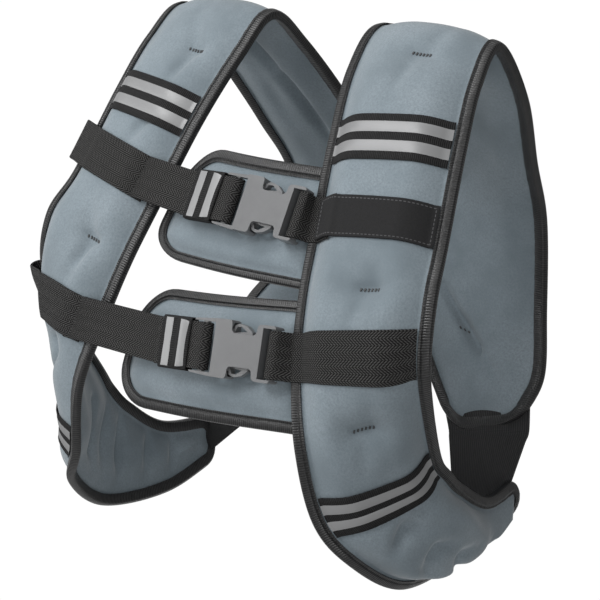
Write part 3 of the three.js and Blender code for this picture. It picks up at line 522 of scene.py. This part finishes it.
def padPiece(name, panel, rows, columns):
    ends, even, crowding = np.array(padGrid["ends"]), padGrid["even"], padGrid["crowding"]
    reach = np.concatenate([ends, np.linspace(even, panel.length - even, rows), panel.length - ends[::-1]])
    turn = np.linspace(np.pi / 2, -np.pi / 2, columns + 1)
    across = np.sin(turn) * crowding + np.linspace(1, -1, columns + 1) * (1 - crowding)
    u, v = np.broadcast_arrays(panel.uAt(reach)[:, None], across[None, :])
    rounded = np.sqrt(np.clip(panel.fromEdge(u, v) / pads["round"], 0, 1))
    front = panel.at(u, v, panel.height(u, v, 1) * rounded)
    back = panel.at(u, v, -panel.height(u, v, -1) * rounded)
    points = np.concatenate([front, back[:, ::-1], front[:, :1]], axis=1)
    x = v * panel.half(u)[1]
    flat = np.stack([np.broadcast_to(reach[:, None], u.shape), x], -1)
    uv = np.concatenate([flat, flat[:, ::-1], flat[:, :1]], axis=1)
    return latticePiece(name, points, uv, finishes["neoprene"])


binder = {"ends": [0, 0.5, 1.4, 2.8, 4.6, 6.8, 9.4, 12.4, 15.5, 19, 23, 28, 34], "even": 38, "rows": 260,
          "openRows": 70, "endPoints": 12, "legs": [0, 0.06, 0.2, 0.4, 0.62, 0.82], "arcSteps": 8,
          "puff": 0.5, "innerPuff": 0.6, "puckers": [(0.16, 6.5), (0.12, 17.3)],  # depth and pitch
          "wrapLength": 26, "arcLength": 2.6, "lapLength": 3}


def bindingPiece(name, panel, closed):  # tape folded over the edge, all round or leaving the start open
    b = binder
    finish = panel.length - np.array(b["ends"])[::-1]
    if closed:
        reach = np.concatenate([b["ends"], np.linspace(b["even"], panel.length - b["even"], b["rows"]), finish])
    else:
        reach = np.concatenate([np.linspace(0, panel.length - b["even"], b["openRows"]), finish])
    rows = panel.uAt(reach)
    count = b["endPoints"]
    side = np.linspace(1, -1, count + 2)[1:-1]
    u = np.concatenate([rows, np.full(count, panel.uEnd), rows[::-1], *([np.zeros(count)] if closed else [])])
    v = np.concatenate([np.ones(len(rows)), side, -np.ones(len(rows)), *([side[::-1]] if closed else [])])
    full, rim = panel.half(u)
    p = panel.at(u, v)
    n = panel.normal(u, v * rim / full)
    iu, iv = panel.inset(u, v, tape["reach"])
    out = p - panel.at(iu, iv)
    out = unit(out - n * np.sum(out * n, -1, keepdims=True))
    thick, gap = tape["thickness"], tape["gap"]
    route = np.concatenate([[0], np.cumsum(np.linalg.norm(np.diff(p, axis=0), axis=1))])
    pucker = sum(depth * np.sin(route * 2 * np.pi / pitch) for depth, pitch in b["puckers"])
    arcs = np.linspace(np.pi / 2, -np.pi / 2, b["arcSteps"] + 1)
    legCount, turnCount = len(b["legs"]), len(b["legs"]) + len(arcs)

    def shell(lift, over, high):  # the lines of one skin of the tape, and how far across the tape each one lies
        lines, spots = [], []
        outside = lift > gap
        for face in (1, -1):
            end = panel.at(iu, iv, face * (panel.height(iu, iv, face) + lift))
            top = p + n * (face * high)
            for share in b["legs"]:
                puff = b["puff"] * np.sin(np.pi * share) * (1 if outside else b["innerPuff"])
                puff = face * (puff + (pucker if outside else 0) * (1 - share))
                lines.append(end + (top - end) * share + n * np.reshape(puff, (-1, 1)))
                spots.append(share * tape["reach"])
            if face > 0:
                for angle in arcs:
                    lines.append(p + out * (over * math.cos(angle)) + n * (high * math.sin(angle)))
                    spots.append(tape["reach"] + (np.pi / 2 - angle) * b["arcLength"])
        order = list(range(turnCount)) + list(range(legCount + turnCount - 1, turnCount - 1, -1))
        return [lines[i] for i in order], [spots[i] if i < turnCount else b["wrapLength"] - spots[i] for i in order]

    outer, outerSpots = shell(gap + thick, gap + thick, binderHeight)
    inner, innerSpots = shell(gap, gap, binderHeight - thick)
    ring = outer + inner[::-1] + outer[:1]
    spots = outerSpots + innerSpots[::-1] + outerSpots[:1]
    points = np.stack(ring, 1)
    uv = np.stack(np.broadcast_arrays(route[:, None], np.array(spots)[None]), -1)
    if closed:
        points = np.concatenate([points, points[:1]])
        last = uv[:1].copy()
        last[..., 0] = route[-1] + b["lapLength"]
        uv = np.concatenate([uv, last])
    else:  # the two skins meet half way at both open ends
        middle = len(outer)
        partner = np.r_[2 * middle - 1:middle - 1:-1, middle - 1:-1:-1, 2 * middle - 1]
        for row in (0, -1):
            points[row] = (points[row] + points[row][partner]) / 2
    return latticePiece(name, points, uv, finishes["binding"])


fabric = {"webbing": 36, "webbingThick": 1.8, "band": 36, "bandThick": 1.2, "patch": 33, "patchThick": 1.6,
          "stripe": 8.5, "stripeThick": 0.3, "stripeSpacing": 15, "rowPitch": 2.2, "selvedge": 0.5, "thinEdge": 0.55}


# cloth strips: each node gives the points and the outward side for distances across the strip
def skinNode(panel, u, v, face, lift):
    speed = panel.speed(np.array(u), np.array(v))

    def across(x):
        at = u + x / speed
        gone = np.linalg.norm(panel.surface(at, v + 0 * at) - panel.surface(u + 0 * at, v + 0 * at), axis=-1)
        near = fabric["selvedge"]
        at = u + x / speed * np.where(gone > near, np.abs(x) / np.maximum(gone, near), 1)
        fromRim = panel.half(at)[1] * (1 - abs(v)) * panel.squareness(at, (1.0 if v >= 0 else -1.0) + 0 * at)
        low = np.where(fromRim < border + 1.5, binderHeight + clearance - 1, 0)  # it stays over the binding
        h = np.maximum(panel.height(at, v + 0 * at, face, False), low) + lift
        return panel.at(at, v, face * h), panel.normal(at, v + 0 * at) * face
    return across


def flipped(node, thickness):
    def across(x):
        p, n = node(x)
        return p + n * thickness, -n
    return across


def flatNode(p, w, n):
    return lambda x: (p + x[:, None] * w, np.broadcast_to(n, (len(x), 3)))


# across a panel, start and end in mm from its inner edge; rows crowd where the strip climbs the binding
def acrossNodes(panel, u, slant, start, end, lift, count=26, drop=0):
    rim = float(panel.half(np.array(float(u)))[1])
    if end < 2 * border:
        d = np.linspace(start, end, 12)
    else:
        d = np.concatenate([np.linspace(start, border + 3, 6), np.linspace(border + 6, end - 12, count),
                            np.linspace(end - 8, end, 3)])
    nodes = []
    for reach, v in zip(d, d / rim - 1):
        at = u + slant * v - drop * max(0, (v + 1) / 2) ** 2
        nodes.append(skinNode(panel, at, v, 1, lift(reach)))
    return nodes


def stripPiece(name, nodes, width, thickness, finish, offset=0.0, rise=0.0, columns=12, density=1.0):
    side = width / 2 - fabric["selvedge"]
    x = np.concatenate([[-width / 2], np.linspace(-side, side, columns - 1), [width / 2]])
    made = [node(x + offset) for node in nodes]
    p, n = np.stack([m[0] for m in made]), np.stack([m[1] for m in made])
    path = np.linalg.norm(np.diff(p[:, columns // 2], axis=0), axis=1)
    keep = np.concatenate([[True], path > 1e-4])
    p, n = p[keep], n[keep]
    path = np.concatenate([[0], np.cumsum(path[path > 1e-4])])
    rows = max(6, int(path[-1] / fabric["rowPitch"] * density))
    length = np.linspace(0, path[-1], rows + 1)
    t = np.interp(length, path, np.arange(len(path)))
    p = np.stack([spline(p[:, j], t) for j in range(p.shape[1])], 1)
    n = unit(np.stack([spline(n[:, j], t) for j in range(n.shape[1])], 1))
    body = np.ones((len(t), len(x)))  # 1 is the full thickness and 0.5 none
    body[:, 0] = body[:, -1] = fabric["thinEdge"]
    body[0] = body[-1] = 0.5
    middle = rise + thickness / 2
    top = p + n * (middle + (body - 0.5)[..., None] * thickness)
    low = p + n * (middle - (body - 0.5)[..., None] * thickness)
    points = np.concatenate([top, low[:, ::-1], top[:, :1]], axis=1)
    flat = np.stack([np.broadcast_to(length[:, None], top.shape[:2]), np.broadcast_to(x[None], top.shape[:2])], -1)
    uv = np.concatenate([flat, flat[:, ::-1], flat[:, :1]], axis=1)
    return latticePiece(name, points, uv, finish)


bands = {"upper": {"at": 9.0, "lift": 0.4}, "lower": {"at": 4.0, "lift": 0.8}}
stripeLift = 0.02

for side, panel in panels.items():
    settle(padPiece(f"{side}Pad", panel, 460, 70), "neoprene", f"{side}_pad")
    settle(bindingPiece(f"{side}Binding", panel, True), "binding", f"{side}_binding")
    for level, band in bands.items():
        title = side + level.title()
        width = float(panel.half(np.array(band["at"]))[1]) * 2
        nodes = acrossNodes(panel, band["at"], 0, border - 1, width - border + 1, lambda reach: band["lift"])
        settle(stripPiece(f"{title}Band", nodes, fabric["band"], fabric["bandThick"], finishes["band"]),
               "webbing", f"{side}_{level}_band")
        for stripe in (0, 1):
            piece = stripPiece(f"{title}Stripe{stripe + 1}", nodes, fabric["stripe"], fabric["stripeThick"],
                               finishes["stripe"], offset=(0.5 - stripe) * fabric["stripeSpacing"],
                               rise=fabric["bandThick"] + stripeLift, columns=4)
            settle(piece, "stripe", f"{side}_{level}_stripe_{stripe + 1}")
    print(side, "panel made")

chestPads = {"thickness": 14, "ramp": 13, "corner": 34, "bow": 5, "tuck": 6, "fill": 0.6}
buckle = {"width": 44, "length": 76, "thickness": 12, "female": 54, "slot": 6, "barDepth": 4, "bar": 5, "rail": 3,
          "ladder": 66, "wall": 2, "tilt": 5, "raise": 5, "prong": 5, "mouth": 5.6, "mouthStart": 15, "past": 9}
# seatTop, seatBottom, webbingAt and strapAt are stations
fasteners = {
    "upper": {"seatTop": 8.75, "seatBottom": 7.27, "seatGap": 1.6, "endShare": 0.84, "endDrop": 0,
              "webbingAt": 8.19, "strapAt": 8.265, "strapSlant": 0.075, "drop": 0, "barGap": 17, "webbingEnd": 26},
    "lower": {"seatTop": 7.05, "seatBottom": 5.18, "seatGap": 2.1, "endShare": 0.76, "endDrop": 0.045,
              "webbingAt": 6.18, "strapAt": 5.95, "strapSlant": 0.12, "drop": 0.4, "barGap": 21, "webbingEnd": 0},
}


def chestSurface(f):
    def surface(u, v):
        u, v = np.broadcast_arrays(np.asarray(u, float), np.asarray(v, float))
        at = f["seatBottom"] + (f["seatTop"] - f["seatBottom"]) * (v + 1) / 2
        seat = left.at(at, -1 + 0 * at, -2 * binderHeight - f["seatGap"])
        seat[..., 0] += chestPads["tuck"]
        end = np.stack([-seat[..., 0] * f["endShare"], seat[..., 1], seat[..., 2] - f["endDrop"] * vest["height"]], -1)
        p = seat + (end - seat) * u[..., None]
        p[..., 1] -= chestPads["bow"] * np.sin(np.pi * np.clip(u, 0, 1)) ** 1.5
        return p
    return surface


def one(a):
    return np.asarray(a, float).reshape(-1, 3)[0]


def buckleFrame(f, strapStart):
    rim = one(left.at(f["webbingAt"], -1.0, binderHeight + clearance))
    span = strapStart - rim
    w = one(left.lengthwise(np.array(f["webbingAt"]), -1.0)) + one(right.lengthwise(np.array(f["strapAt"]), -1.0))
    w = unit(w - span * (w @ span) / (span @ span))
    axis = np.array((Matrix.Rotation(math.radians(buckle["tilt"]), 3, Vector(w)) @ Vector(unit(span))))
    out = unit(np.cross(w, axis))
    origin = rim + axis * (f["barGap"] - buckle["bar"] - buckle["slot"]) + out * buckle["raise"]
    return origin, axis, -w, out


def toPlace(piece, place):  # from a piece's own frame to the vest's
    origin, x, y, z = place
    turn = [[x[k], y[k], z[k], origin[k] * mm] for k in range(3)]
    piece.data.transform(Matrix(turn + [[0, 0, 0, 1]]))
    piece.data.update()


def applyAll(piece):
    pick(piece)
    for m in list(piece.modifiers):
        bpy.ops.object.modifier_apply(modifier=m.name)


def prism(name, outline, bottom, top):  # the outline is drawn point by point, filled and drawn up
    dropSelection()
    bpy.ops.mesh.primitive_plane_add(size=mm, location=(0, 0, 0))
    piece = bpy.context.object
    piece.name = piece.data.name = name
    bpy.ops.object.mode_set(mode="EDIT")
    bpy.ops.mesh.select_mode(type="VERT")
    bpy.ops.mesh.merge(type="CENTER")
    bpy.ops.transform.translate(value=(outline[0][0] * mm, outline[0][1] * mm, bottom * mm))
    for (x0, y0), (x1, y1) in zip(outline, outline[1:]):
        bpy.ops.mesh.extrude_region_move(TRANSFORM_OT_translate={"value": ((x1 - x0) * mm, (y1 - y0) * mm, 0)})
    bpy.ops.mesh.select_all(action="SELECT")
    bpy.ops.mesh.edge_face_add()
    bpy.ops.mesh.extrude_region_move(TRANSFORM_OT_translate={"value": (0, 0, (top - bottom) * mm)})
    bpy.ops.mesh.select_all(action="SELECT")
    bpy.ops.mesh.normals_make_consistent(inside=False)
    bpy.ops.object.mode_set(mode="OBJECT")
    return piece


def bothHalves(outline):
    return outline + [(x, -y) for x, y in reversed(outline)]


def block(name, low, high):
    dropSelection()
    middle = [(a + b) / 2 * mm for a, b in zip(low, high)]
    bpy.ops.mesh.primitive_cube_add(size=1, location=(0, 0, 0))
    piece = bpy.context.object
    piece.name = piece.data.name = name
    bpy.ops.object.mode_set(mode="EDIT")
    bpy.ops.transform.resize(value=[(b - a) * mm for a, b in zip(low, high)])
    bpy.ops.transform.translate(value=middle)
    bpy.ops.object.mode_set(mode="OBJECT")
    return piece


def cutOut(piece, *tools):
    for tool in tools:
        m = piece.modifiers.new("cut", "BOOLEAN")
        m.operation, m.object, m.solver = "DIFFERENCE", tool, "EXACT"
    applyAll(piece)
    for tool in tools:
        bpy.data.objects.remove(tool)


def softenEdges(piece, width, segments):
    pick(piece)
    m = piece.modifiers.new("edges", "BEVEL")
    m.width, m.segments, m.use_clamp_overlap = width * mm, segments, True
    m.limit_method, m.angle_limit = "ANGLE", math.radians(28)
    bpy.ops.object.shade_smooth_by_angle(angle=math.radians(60))
    m.harden_normals = True
    applyAll(piece)


def arc(cx, cy, radius, start, end, steps):
    angles = [math.radians(start + (end - start) * i / steps) for i in range(steps + 1)]
    return [(cx + radius * math.cos(angle), cy + radius * math.sin(angle)) for angle in angles]


def femaleBuckle(name, place):  # x runs from the bar to the mouth, y across and z outwards
    b, half, thick, past = buckle, buckle["width"] / 2, buckle["thickness"] / 2, buckle["past"]
    bar, mouth, wide = b["barDepth"] / 2, b["mouth"] / 2, fabric["webbing"] / 2 + 0.8
    outline = (arc(2.5, half - 3.3, 2.5, 180, 90, 4) + [(9.5, half - 0.8)] + arc(13, half - 4.2, 3.2, 80, 15, 3)
               + arc(20, half - 6, 3.6, 200, 262, 4) + [(33, half - 9.6)] + arc(35.6, half - 6.4, 3.2, 290, 350, 3)
               + arc(41.6, half - 2.6, 2.6, 165, 90, 4) + [(47, half), (b["female"], half - 0.2)])
    body = prism(name, bothHalves(outline), -thick, thick)
    cutOut(body, block("slot", (b["bar"], -wide, -past), (b["bar"] + b["slot"], wide, past)),
           block("underBar", (-1, -wide, -past), (b["bar"] + 1, wide, -bar)),
           block("overBar", (-1, -wide, bar), (b["bar"] + 1, wide, past)),
           block("mouth", (b["mouthStart"], -half + b["wall"], -mouth), (b["female"] + 1, half - b["wall"], mouth)))
    softenEdges(body, 1.3, 4)
    toPlace(body, place)
    body.data.materials.append(finishes["buckle"])
    return body


def maleBuckle(name, place):  # two prongs, a tongue and the ladder bar that the strap goes round
    b, half, past = buckle, buckle["width"] / 2, buckle["past"]
    bar, inside = b["barDepth"] / 2, half - b["rail"]
    base, head = b["female"] + clearance, half - b["wall"] - clearance
    outline = (arc(b["length"] - 2, half - 3.4, 2, 0, 90, 3)
               + [(base + 0.4, half), (base, half - 0.6), (base, head - 1), (40, head - 2.2)]
               + arc(34, head - 6.2, 6.4, 62, 100, 4)
               + [(27.5, head - 1.2), (22.5, head - 5.2), (22, head - 7.4), (29, head - 8.4),
                  (base - 6, head - 9.4), (base - 4, 2.4), (30, 1.8)])
    lip = [(38.6, 12.9), (36.4, 17.4), (32.5, 17.8), (27.2, 14.4)]
    body = prism(name, bothHalves(outline), -b["prong"] / 2, b["prong"] / 2)
    near, far = b["ladder"] - bar, b["ladder"] + bar
    cutOut(body, block("nearGap", (base + 1, -inside, -past), (near, inside, past)),
           block("farGap", (far, -inside, -past), (b["length"] + 1, inside, past)),
           block("barTop", (near - 1, -inside, bar), (far + 1, inside, past)),
           block("barUnder", (near - 1, -inside, -past), (far + 1, inside, -bar)),
           *[prism("lipGap", [(x, y * side) for x, y in lip], -past, past) for side in (1, -1)])
    softenEdges(body, 0.6, 2)
    toPlace(body, place)
    body.data.materials.append(finishes["buckle"])
    return body


def hook(place, barX, start, end, w):  # webbing bent round a bar
    origin, x, y, z = place
    radius = math.hypot(buckle["barDepth"], buckle["bar"]) / 2 + clearance
    nodes = []
    for angle in np.linspace(start, end, 15):
        n = x * math.cos(angle) + z * math.sin(angle)
        nodes.append(flatNode(origin + x * barX + n * radius, w, n))
    return nodes


loop = {"start": 20, "end": 24, "lift": 0.9, "backLift": 2.1, "inside": 2.6, "reach": 9, "depth": 12, "steps": 12,
        "behind": (0.8, 0.66, 0.5)}


def strapOverPanel(at, slant, drop):  # over the right panel, round its outer edge and behind it
    width = float(right.half(np.array(at))[1]) * 2
    thick = fabric["webbingThick"]
    laid = acrossNodes(right, at, slant, loop["start"], width - loop["end"], lambda reach: loop["lift"], drop=drop)
    front = [flipped(node, thick) for node in laid]
    outerAt = at + slant - drop
    speed = right.speed(np.array(outerAt), np.array(1.0))
    backHeight = binderHeight + loop["backLift"] + thick
    middle, radius = (loop["depth"] - backHeight) / 2, (loop["depth"] + backHeight) / 2
    fold = []
    for i in range(loop["steps"] + 1):
        angle = math.pi * (0.5 - i / loop["steps"])

        def across(x, angle=angle):
            u = outerAt + x / speed
            rim = right.at(u, 1.0)
            out = unit(rim - right.at(u, 0.8))
            up = right.normal(u, 1 + 0 * u)
            p = rim + up * (middle + radius * math.sin(angle)) + out * (loop["reach"] * math.cos(angle))
            return p, -up * math.sin(angle) - out * math.cos(angle)
        fold.append(across)
    behind = [flipped(skinNode(right, outerAt, v, -1, loop["backLift"]), thick) for v in loop["behind"]]
    return front + fold + behind


keeper = {"length": 32, "thickness": 1.2, "start": 2, "flapWidth": 36.4, "flapThick": 0.9, "stripeWidth": 36.2,
          "stripeThick": 0.3, "cornerGap": 0.8, "lowStripeWidth": 37, "lowStripe": (29.5, 25, 21.5),
          "bulge": 0.25, "sag": 0.1, "flapGap": 0.35, "flapLean": 0.22, "stripeSink": 0.3,
          # along, height and share of the width of the flap that curves in between the buckle's rails
          "curve": [(16, 0, 1), (12, 0, 1), (9, -0.3, 0.99), (6, -1.1, 0.96), (3.5, -2.2, 0.92), (2, -3.2, 0.9)]}
onBar = {"start": -0.9, "past": 2, "lift": 0.5}  # the left webbing on the female buckle's bar
zero = np.zeros(1)

for level, f in fasteners.items():
    title = level.title()
    chest = Panel(chestSurface(f), 1, chestPads["thickness"], 0.5, chestPads["ramp"], 0.0, chestPads["corner"], 1)
    settle(padPiece(f"{level}ChestPad", chest, 70, 40), "neoprene", f"{level}_chest_pad")
    settle(bindingPiece(f"{level}ChestBinding", chest, False), "binding", f"{level}_chest_binding")

    strap = strapOverPanel(f["strapAt"], f["strapSlant"], f["drop"])
    rim = float(right.half(np.array(f["strapAt"]))[1])
    startV = -1 - loop["inside"] / rim
    start = skinNode(right, f["strapAt"] + f["strapSlant"] * startV, startV, 1, loop["backLift"])
    strapStart = flipped(start, fabric["webbingThick"])(zero)[0][0]
    place = buckleFrame(f, strapStart)
    origin, x, y, z = place
    w = -y
    settle(femaleBuckle(f"{level}BuckleFemale", place), "buckle", f"{level}_buckle_female")
    settle(maleBuckle(f"{level}BuckleMale", place), "buckle", f"{level}_buckle_male")

    # the strap goes back over itself round the ladder bar
    bend = origin + x * buckle["length"]
    back = unit(strapStart - bend)
    rise = unit(np.cross(w, back))

    def lineAt(reach, height):
        return bend + back * reach + rise * height
    layerGap, keeperTo = 2 * clearance, keeper["start"] + keeper["length"]
    nodes = [*[flatNode(lineAt(reach, layerGap), w, rise) for reach in (keeperTo + 6, 20, 0)],
             *hook(place, buckle["ladder"], np.pi / 2, np.pi * 1.5, w),
             *[flatNode(lineAt(reach, 0), w, -rise) for reach in (0, 20, keeperTo)], *strap]
    settle(stripPiece(f"right{title}Strap", nodes, fabric["webbing"], fabric["webbingThick"], finishes["webbing"],
                      density=1.2), "webbing", f"right_{level}_strap")

    # the keeper is a sleeve round both layers
    inner, corner = fabric["webbing"] / 2 + clearance, keeper["cornerGap"]
    low = -fabric["webbingThick"] - clearance - keeper["thickness"]
    high = layerGap + fabric["webbingThick"] + clearance
    down = corner + keeper["sag"]
    half = [(inner, high), (inner + corner, high - down), (inner + corner, low + down), (inner, low)]
    corners = (half + [(0, low - keeper["sag"])] + [(-c, h) for c, h in reversed(half)]
               + [(0, high + keeper["bulge"])])
    ring = []
    for c, h in corners + corners[:1]:
        outward = unit(w * (2 * c / fabric["webbing"]) ** 5 + rise * (1 if h > 0 else -1))
        ring.append(flatNode(lineAt(keeperTo - keeper["length"] / 2, h) + w * c, -back, outward))
    settle(stripPiece(f"{level}Keeper", ring, keeper["length"], keeper["thickness"], finishes["band"], density=2),
           "webbing", f"{level}_keeper")
    topLine = high + keeper["thickness"] + keeper["flapGap"]

    def flapNode(reach, height, wide):
        outward = unit(rise - back * (height * keeper["flapLean"]))
        return flatNode(lineAt(reach, topLine + height), w * wide, outward)
    flap = [flapNode(*spot) for spot in keeper["curve"]]
    settle(stripPiece(f"{level}KeeperFlap", flap, keeper["flapWidth"], keeper["flapThick"], finishes["band"],
                      density=2), "webbing")
    over = keeper["flapThick"] + stripeLift
    curved = [flapNode(reach, height + over, wide) for reach, height, wide in keeper["curve"][1:-1]]
    flat = [flatNode(lineAt(reach, topLine - keeper["stripeSink"]), w, rise) for reach in keeper["lowStripe"]]
    for stripe, nodes, width in ((1, curved, keeper["stripeWidth"]), (2, flat, keeper["lowStripeWidth"])):
        settle(stripPiece(f"{level}KeeperStripe{stripe}", nodes, width, keeper["stripeThick"], finishes["stripe"],
                          density=3), "stripe", f"{level}_keeper_stripe_{stripe}")

    width = float(left.half(np.array(f["webbingAt"]))[1]) * 2
    end = f["webbingEnd"] or width - border + 1
    onPanel = acrossNodes(left, f["webbingAt"], 0, 0, end, lambda reach: onBar["lift"])
    overBar = hook(place, buckle["bar"] / 2, onBar["start"], np.pi / 2, w)
    pastBar = origin - x * onBar["past"] + z * (math.hypot(buckle["barDepth"], buckle["bar"]) / 2 + clearance)
    nodes = [*overBar, flatNode(pastBar, w, z), *onPanel]
    settle(stripPiece(f"left{title}Webbing", nodes, fabric["webbing"], fabric["webbingThick"], finishes["webbing"],
                      density=1.2), "webbing", f"left_{level}_webbing")
    print(level, "fastening made")

# the patch covers the end of the upper webbing
patch = {"lift": 0.5, "hump": 2.4, "past": 6, "slope": 5}
at = fasteners["upper"]["webbingAt"]
width = float(left.half(np.array(at))[1]) * 2
humpEnd = fasteners["upper"]["webbingEnd"] + patch["past"]


def patchLift(reach):
    return patch["lift"] + patch["hump"] * float(np.clip((humpEnd - reach) / patch["slope"], 0, 1))


nodes = acrossNodes(left, at, 0, border - 2, width - border + 2, patchLift, 40)
middle = np.stack([node(zero)[0][0] for node in nodes])
patchLength = float(np.linalg.norm(np.diff(middle, axis=0), axis=1).sum())
finishes["felt"] = patchFinish(patchLength, fabric["patch"])
settle(stripPiece("namePatch", nodes, fabric["patch"], fabric["patchThick"], finishes["felt"], density=1.5),
       "felt", "name_patch")

elastic = {"width": 52, "thickness": 2, "seatStart": 22, "seatEnd": 15, "seatLift": 0.8, "hang": 18, "wrapLift": 1.2}
routes = {
    "left": {"lobe": 0.95, "wrap": [(8, 0.2), (8, 0.2)], "shift": (-0.26, 0, -0.03), "face": -1},
    "right": {"lobe": 0.8, "wrap": [(7, -0.75), (9, 0.8)], "shift": (0, 0, 0), "face": 1},
}


def seat(panel, reach, v, face, away):  # a spot on a panel's face, reach mm from its start
    u = panel.uAt(np.array([float(reach)]))
    return one(panel.at(u, v, face * (np.maximum(panel.height(u, v, face, False), binderHeight) + away)))


def twistNode(a, b, n):  # a row of the elastic between two points of its edges
    return lambda x: ((a + b) / 2 + x[:, None] * (b - a) / elastic["width"], np.broadcast_to(n, (len(x), 3)))


for side, route in routes.items():
    panel = panels[side]
    edges = (-route["lobe"], route["lobe"])
    top = [seat(panel, panel.length - elastic["seatStart"], v, 1, elastic["seatLift"]) for v in edges]
    hang = one(panel.lengthwise(np.array(float(panel.uEnd)), 0.0)) * elastic["hang"]
    low = [seat(panel, panel.length - elastic["seatEnd"], v, 1, elastic["seatLift"]) + hang for v in edges]
    wrap = [seat(panel, *spot, route["face"], elastic["wrapLift"]) for spot in route["wrap"]]
    wrap[0] = wrap[0] + np.array(route["shift"]) * vest["halfWidth"]
    inward = -one(panel.normal(np.array(float(panel.uEnd)), 0.0))
    rows = [top] + [[low[k] * (1 - t) + wrap[k] * t for k in (0, 1)] for t in np.linspace(0, 1, 8)]
    nodes = [twistNode(a, b, inward) for a, b in rows]
    settle(stripPiece(f"{side}Elastic", nodes, elastic["width"], elastic["thickness"], finishes["elastic"]),
           "elastic", f"{side}_elastic")

thread = {"size": (2.6, 1.5, 1.1), "bevel": 0.28, "pitch": 2.9, "lean": 0.35, "rise": 0.3, "count": 6, "innerCount": 3}


def stitchRow(name, spots):  # one thread modelled once and copied along a row
    made = []
    for centre, along, up in spots:
        if not made:
            dropSelection()
            bpy.ops.mesh.primitive_cube_add(size=mm, location=(0, 0, 0))
            bpy.ops.object.mode_set(mode="EDIT")
            bpy.ops.transform.resize(value=thread["size"])
            bpy.ops.mesh.bevel(offset=thread["bevel"] * mm, segments=2)
            bpy.ops.object.mode_set(mode="OBJECT")
            bpy.ops.object.shade_smooth()
            unturned = bpy.context.object.data.copy()
        else:
            pick(made[0])
            bpy.ops.object.duplicate(linked=False)
            bpy.context.object.data = unturned.copy()
        piece = bpy.context.object
        toPlace(piece, (centre, along, unit(np.cross(up, along)), up))
        made.append(piece)
    pick(made[0])
    for piece in made:
        piece.select_set(True)
    bpy.ops.object.join()
    made[0].name = made[0].data.name = name
    made[0].data.materials.clear()
    made[0].data.materials.append(finishes["thread"])
    return made[0]


for side, panel in panels.items():
    rows = [(1, tack) for tack in tacks[side]] + [(-1, tack) for tack in innerTacks[side]]
    for i, (face, (at, across, span, depth)) in enumerate(rows):
        rim = float(panel.half(np.array(float(at)))[1])
        count = thread["count"] if face > 0 else thread["innerCount"]
        spots = []
        for k in range(count):
            u, v = np.array([float(at)]), np.array([across + (k - (count - 1) / 2) * thread["pitch"] / rim])
            h = face * (panel.height(u, v, face) + thread["rise"])
            up = one(panel.normal(u, v)) * face
            sideways = unit(one(panel.at(u, v + 0.02, h)) - one(panel.at(u, v - 0.02, h)))
            along = unit(one(panel.lengthwise(u, v)) + thread["lean"] * sideways)
            spots.append((one(panel.at(u, v, h)), along, unit(up - along * (up @ along))))
        settle(stitchRow(f"{side}Tack{i + 1}", spots), "binding")
print("tacks made")

# pale floor and backdrop, soft studio light and the camera at the photograph's angle
stage = {"floor": -2.0, "floorSize": 30.0, "behind": 2.3, "backdropSize": 2.4, "glow": 1.02, "sky": 0.26,
         "target": (-0.0089, -0.023, -0.229), "azimuth": 41.2, "elevation": 16.0, "distance": 1.651, "lens": 122.04}
a, e = math.radians(stage["azimuth"]), math.radians(stage["elevation"])
backward = Vector((math.sin(a) * math.cos(e), -math.cos(a) * math.cos(e), math.sin(e)))
target = Vector(stage["target"])
paint = Finish("paleFloor", Roughness=0.9)
paint.feed(Base_Color=paint.blend(paint.noise(3, 2.0), (0.86, 0.86, 0.86), (0.9, 0.9, 0.9)))
glow = Finish("paleBackdrop", Base_Color=(0, 0, 0, 1), Roughness=1, Emission_Strength=stage["glow"],
              Specular_IOR_Level=0)
glow.feed(Emission_Color=glow.blend(glow.noise(2, 1.0), (1, 1, 1), (0.995, 0.995, 0.995)))
planes = [("floor", Vector((0, 0, stage["floor"])), stage["floorSize"], Vector((0, 0, 1)), paint),
          ("backdrop", target - backward * stage["behind"], stage["backdropSize"], backward, glow)]
for name, spot, size, facing, look in planes:
    dropSelection()
    bpy.ops.mesh.primitive_plane_add(size=size, location=spot, rotation=facing.to_track_quat("Z", "Y").to_euler())
    bpy.context.object.name = name
    bpy.context.object.data.materials.append(look.material)

world = bpy.data.worlds.new("paleSky")
bpy.context.scene.world = world
world.use_nodes = True
world.node_tree.nodes["Background"].inputs[0].default_value = (1, 1, 1, 1)
world.node_tree.nodes["Background"].inputs[1].default_value = stage["sky"]

# place, size and power of each lamp
lamps = {"key": ((-0.1, -1.9, 1.4), 0.8, 30), "left": ((-1.6, -1.4, 0.1), 1.4, 22),
         "right": ((1.7, -1.8, 0.1), 1.2, 18), "top": ((-0.2, 0.4, 1.9), 1.2, 11),
         "neck": ((-0.5, -0.7, 0.95), 0.4, 7)}
for name, (spot, size, power) in lamps.items():
    bpy.ops.object.light_add(type="AREA", location=spot)
    lamp = bpy.context.object
    lamp.name = name
    lamp.data.size, lamp.data.energy = size, power
    lamp.rotation_euler = (target - Vector(spot)).to_track_quat("-Z", "Y").to_euler()

bpy.ops.object.camera_add(location=target + backward * stage["distance"])
eye = bpy.context.object
eye.rotation_mode = "QUATERNION"
eye.rotation_quaternion = backward.to_track_quat("Z", "Y")
eye.data.lens, eye.data.sensor_width = stage["lens"], 36
bpy.context.scene.camera = eye
bpy.context.scene.view_settings.view_transform = "Standard"

print("scene ready")
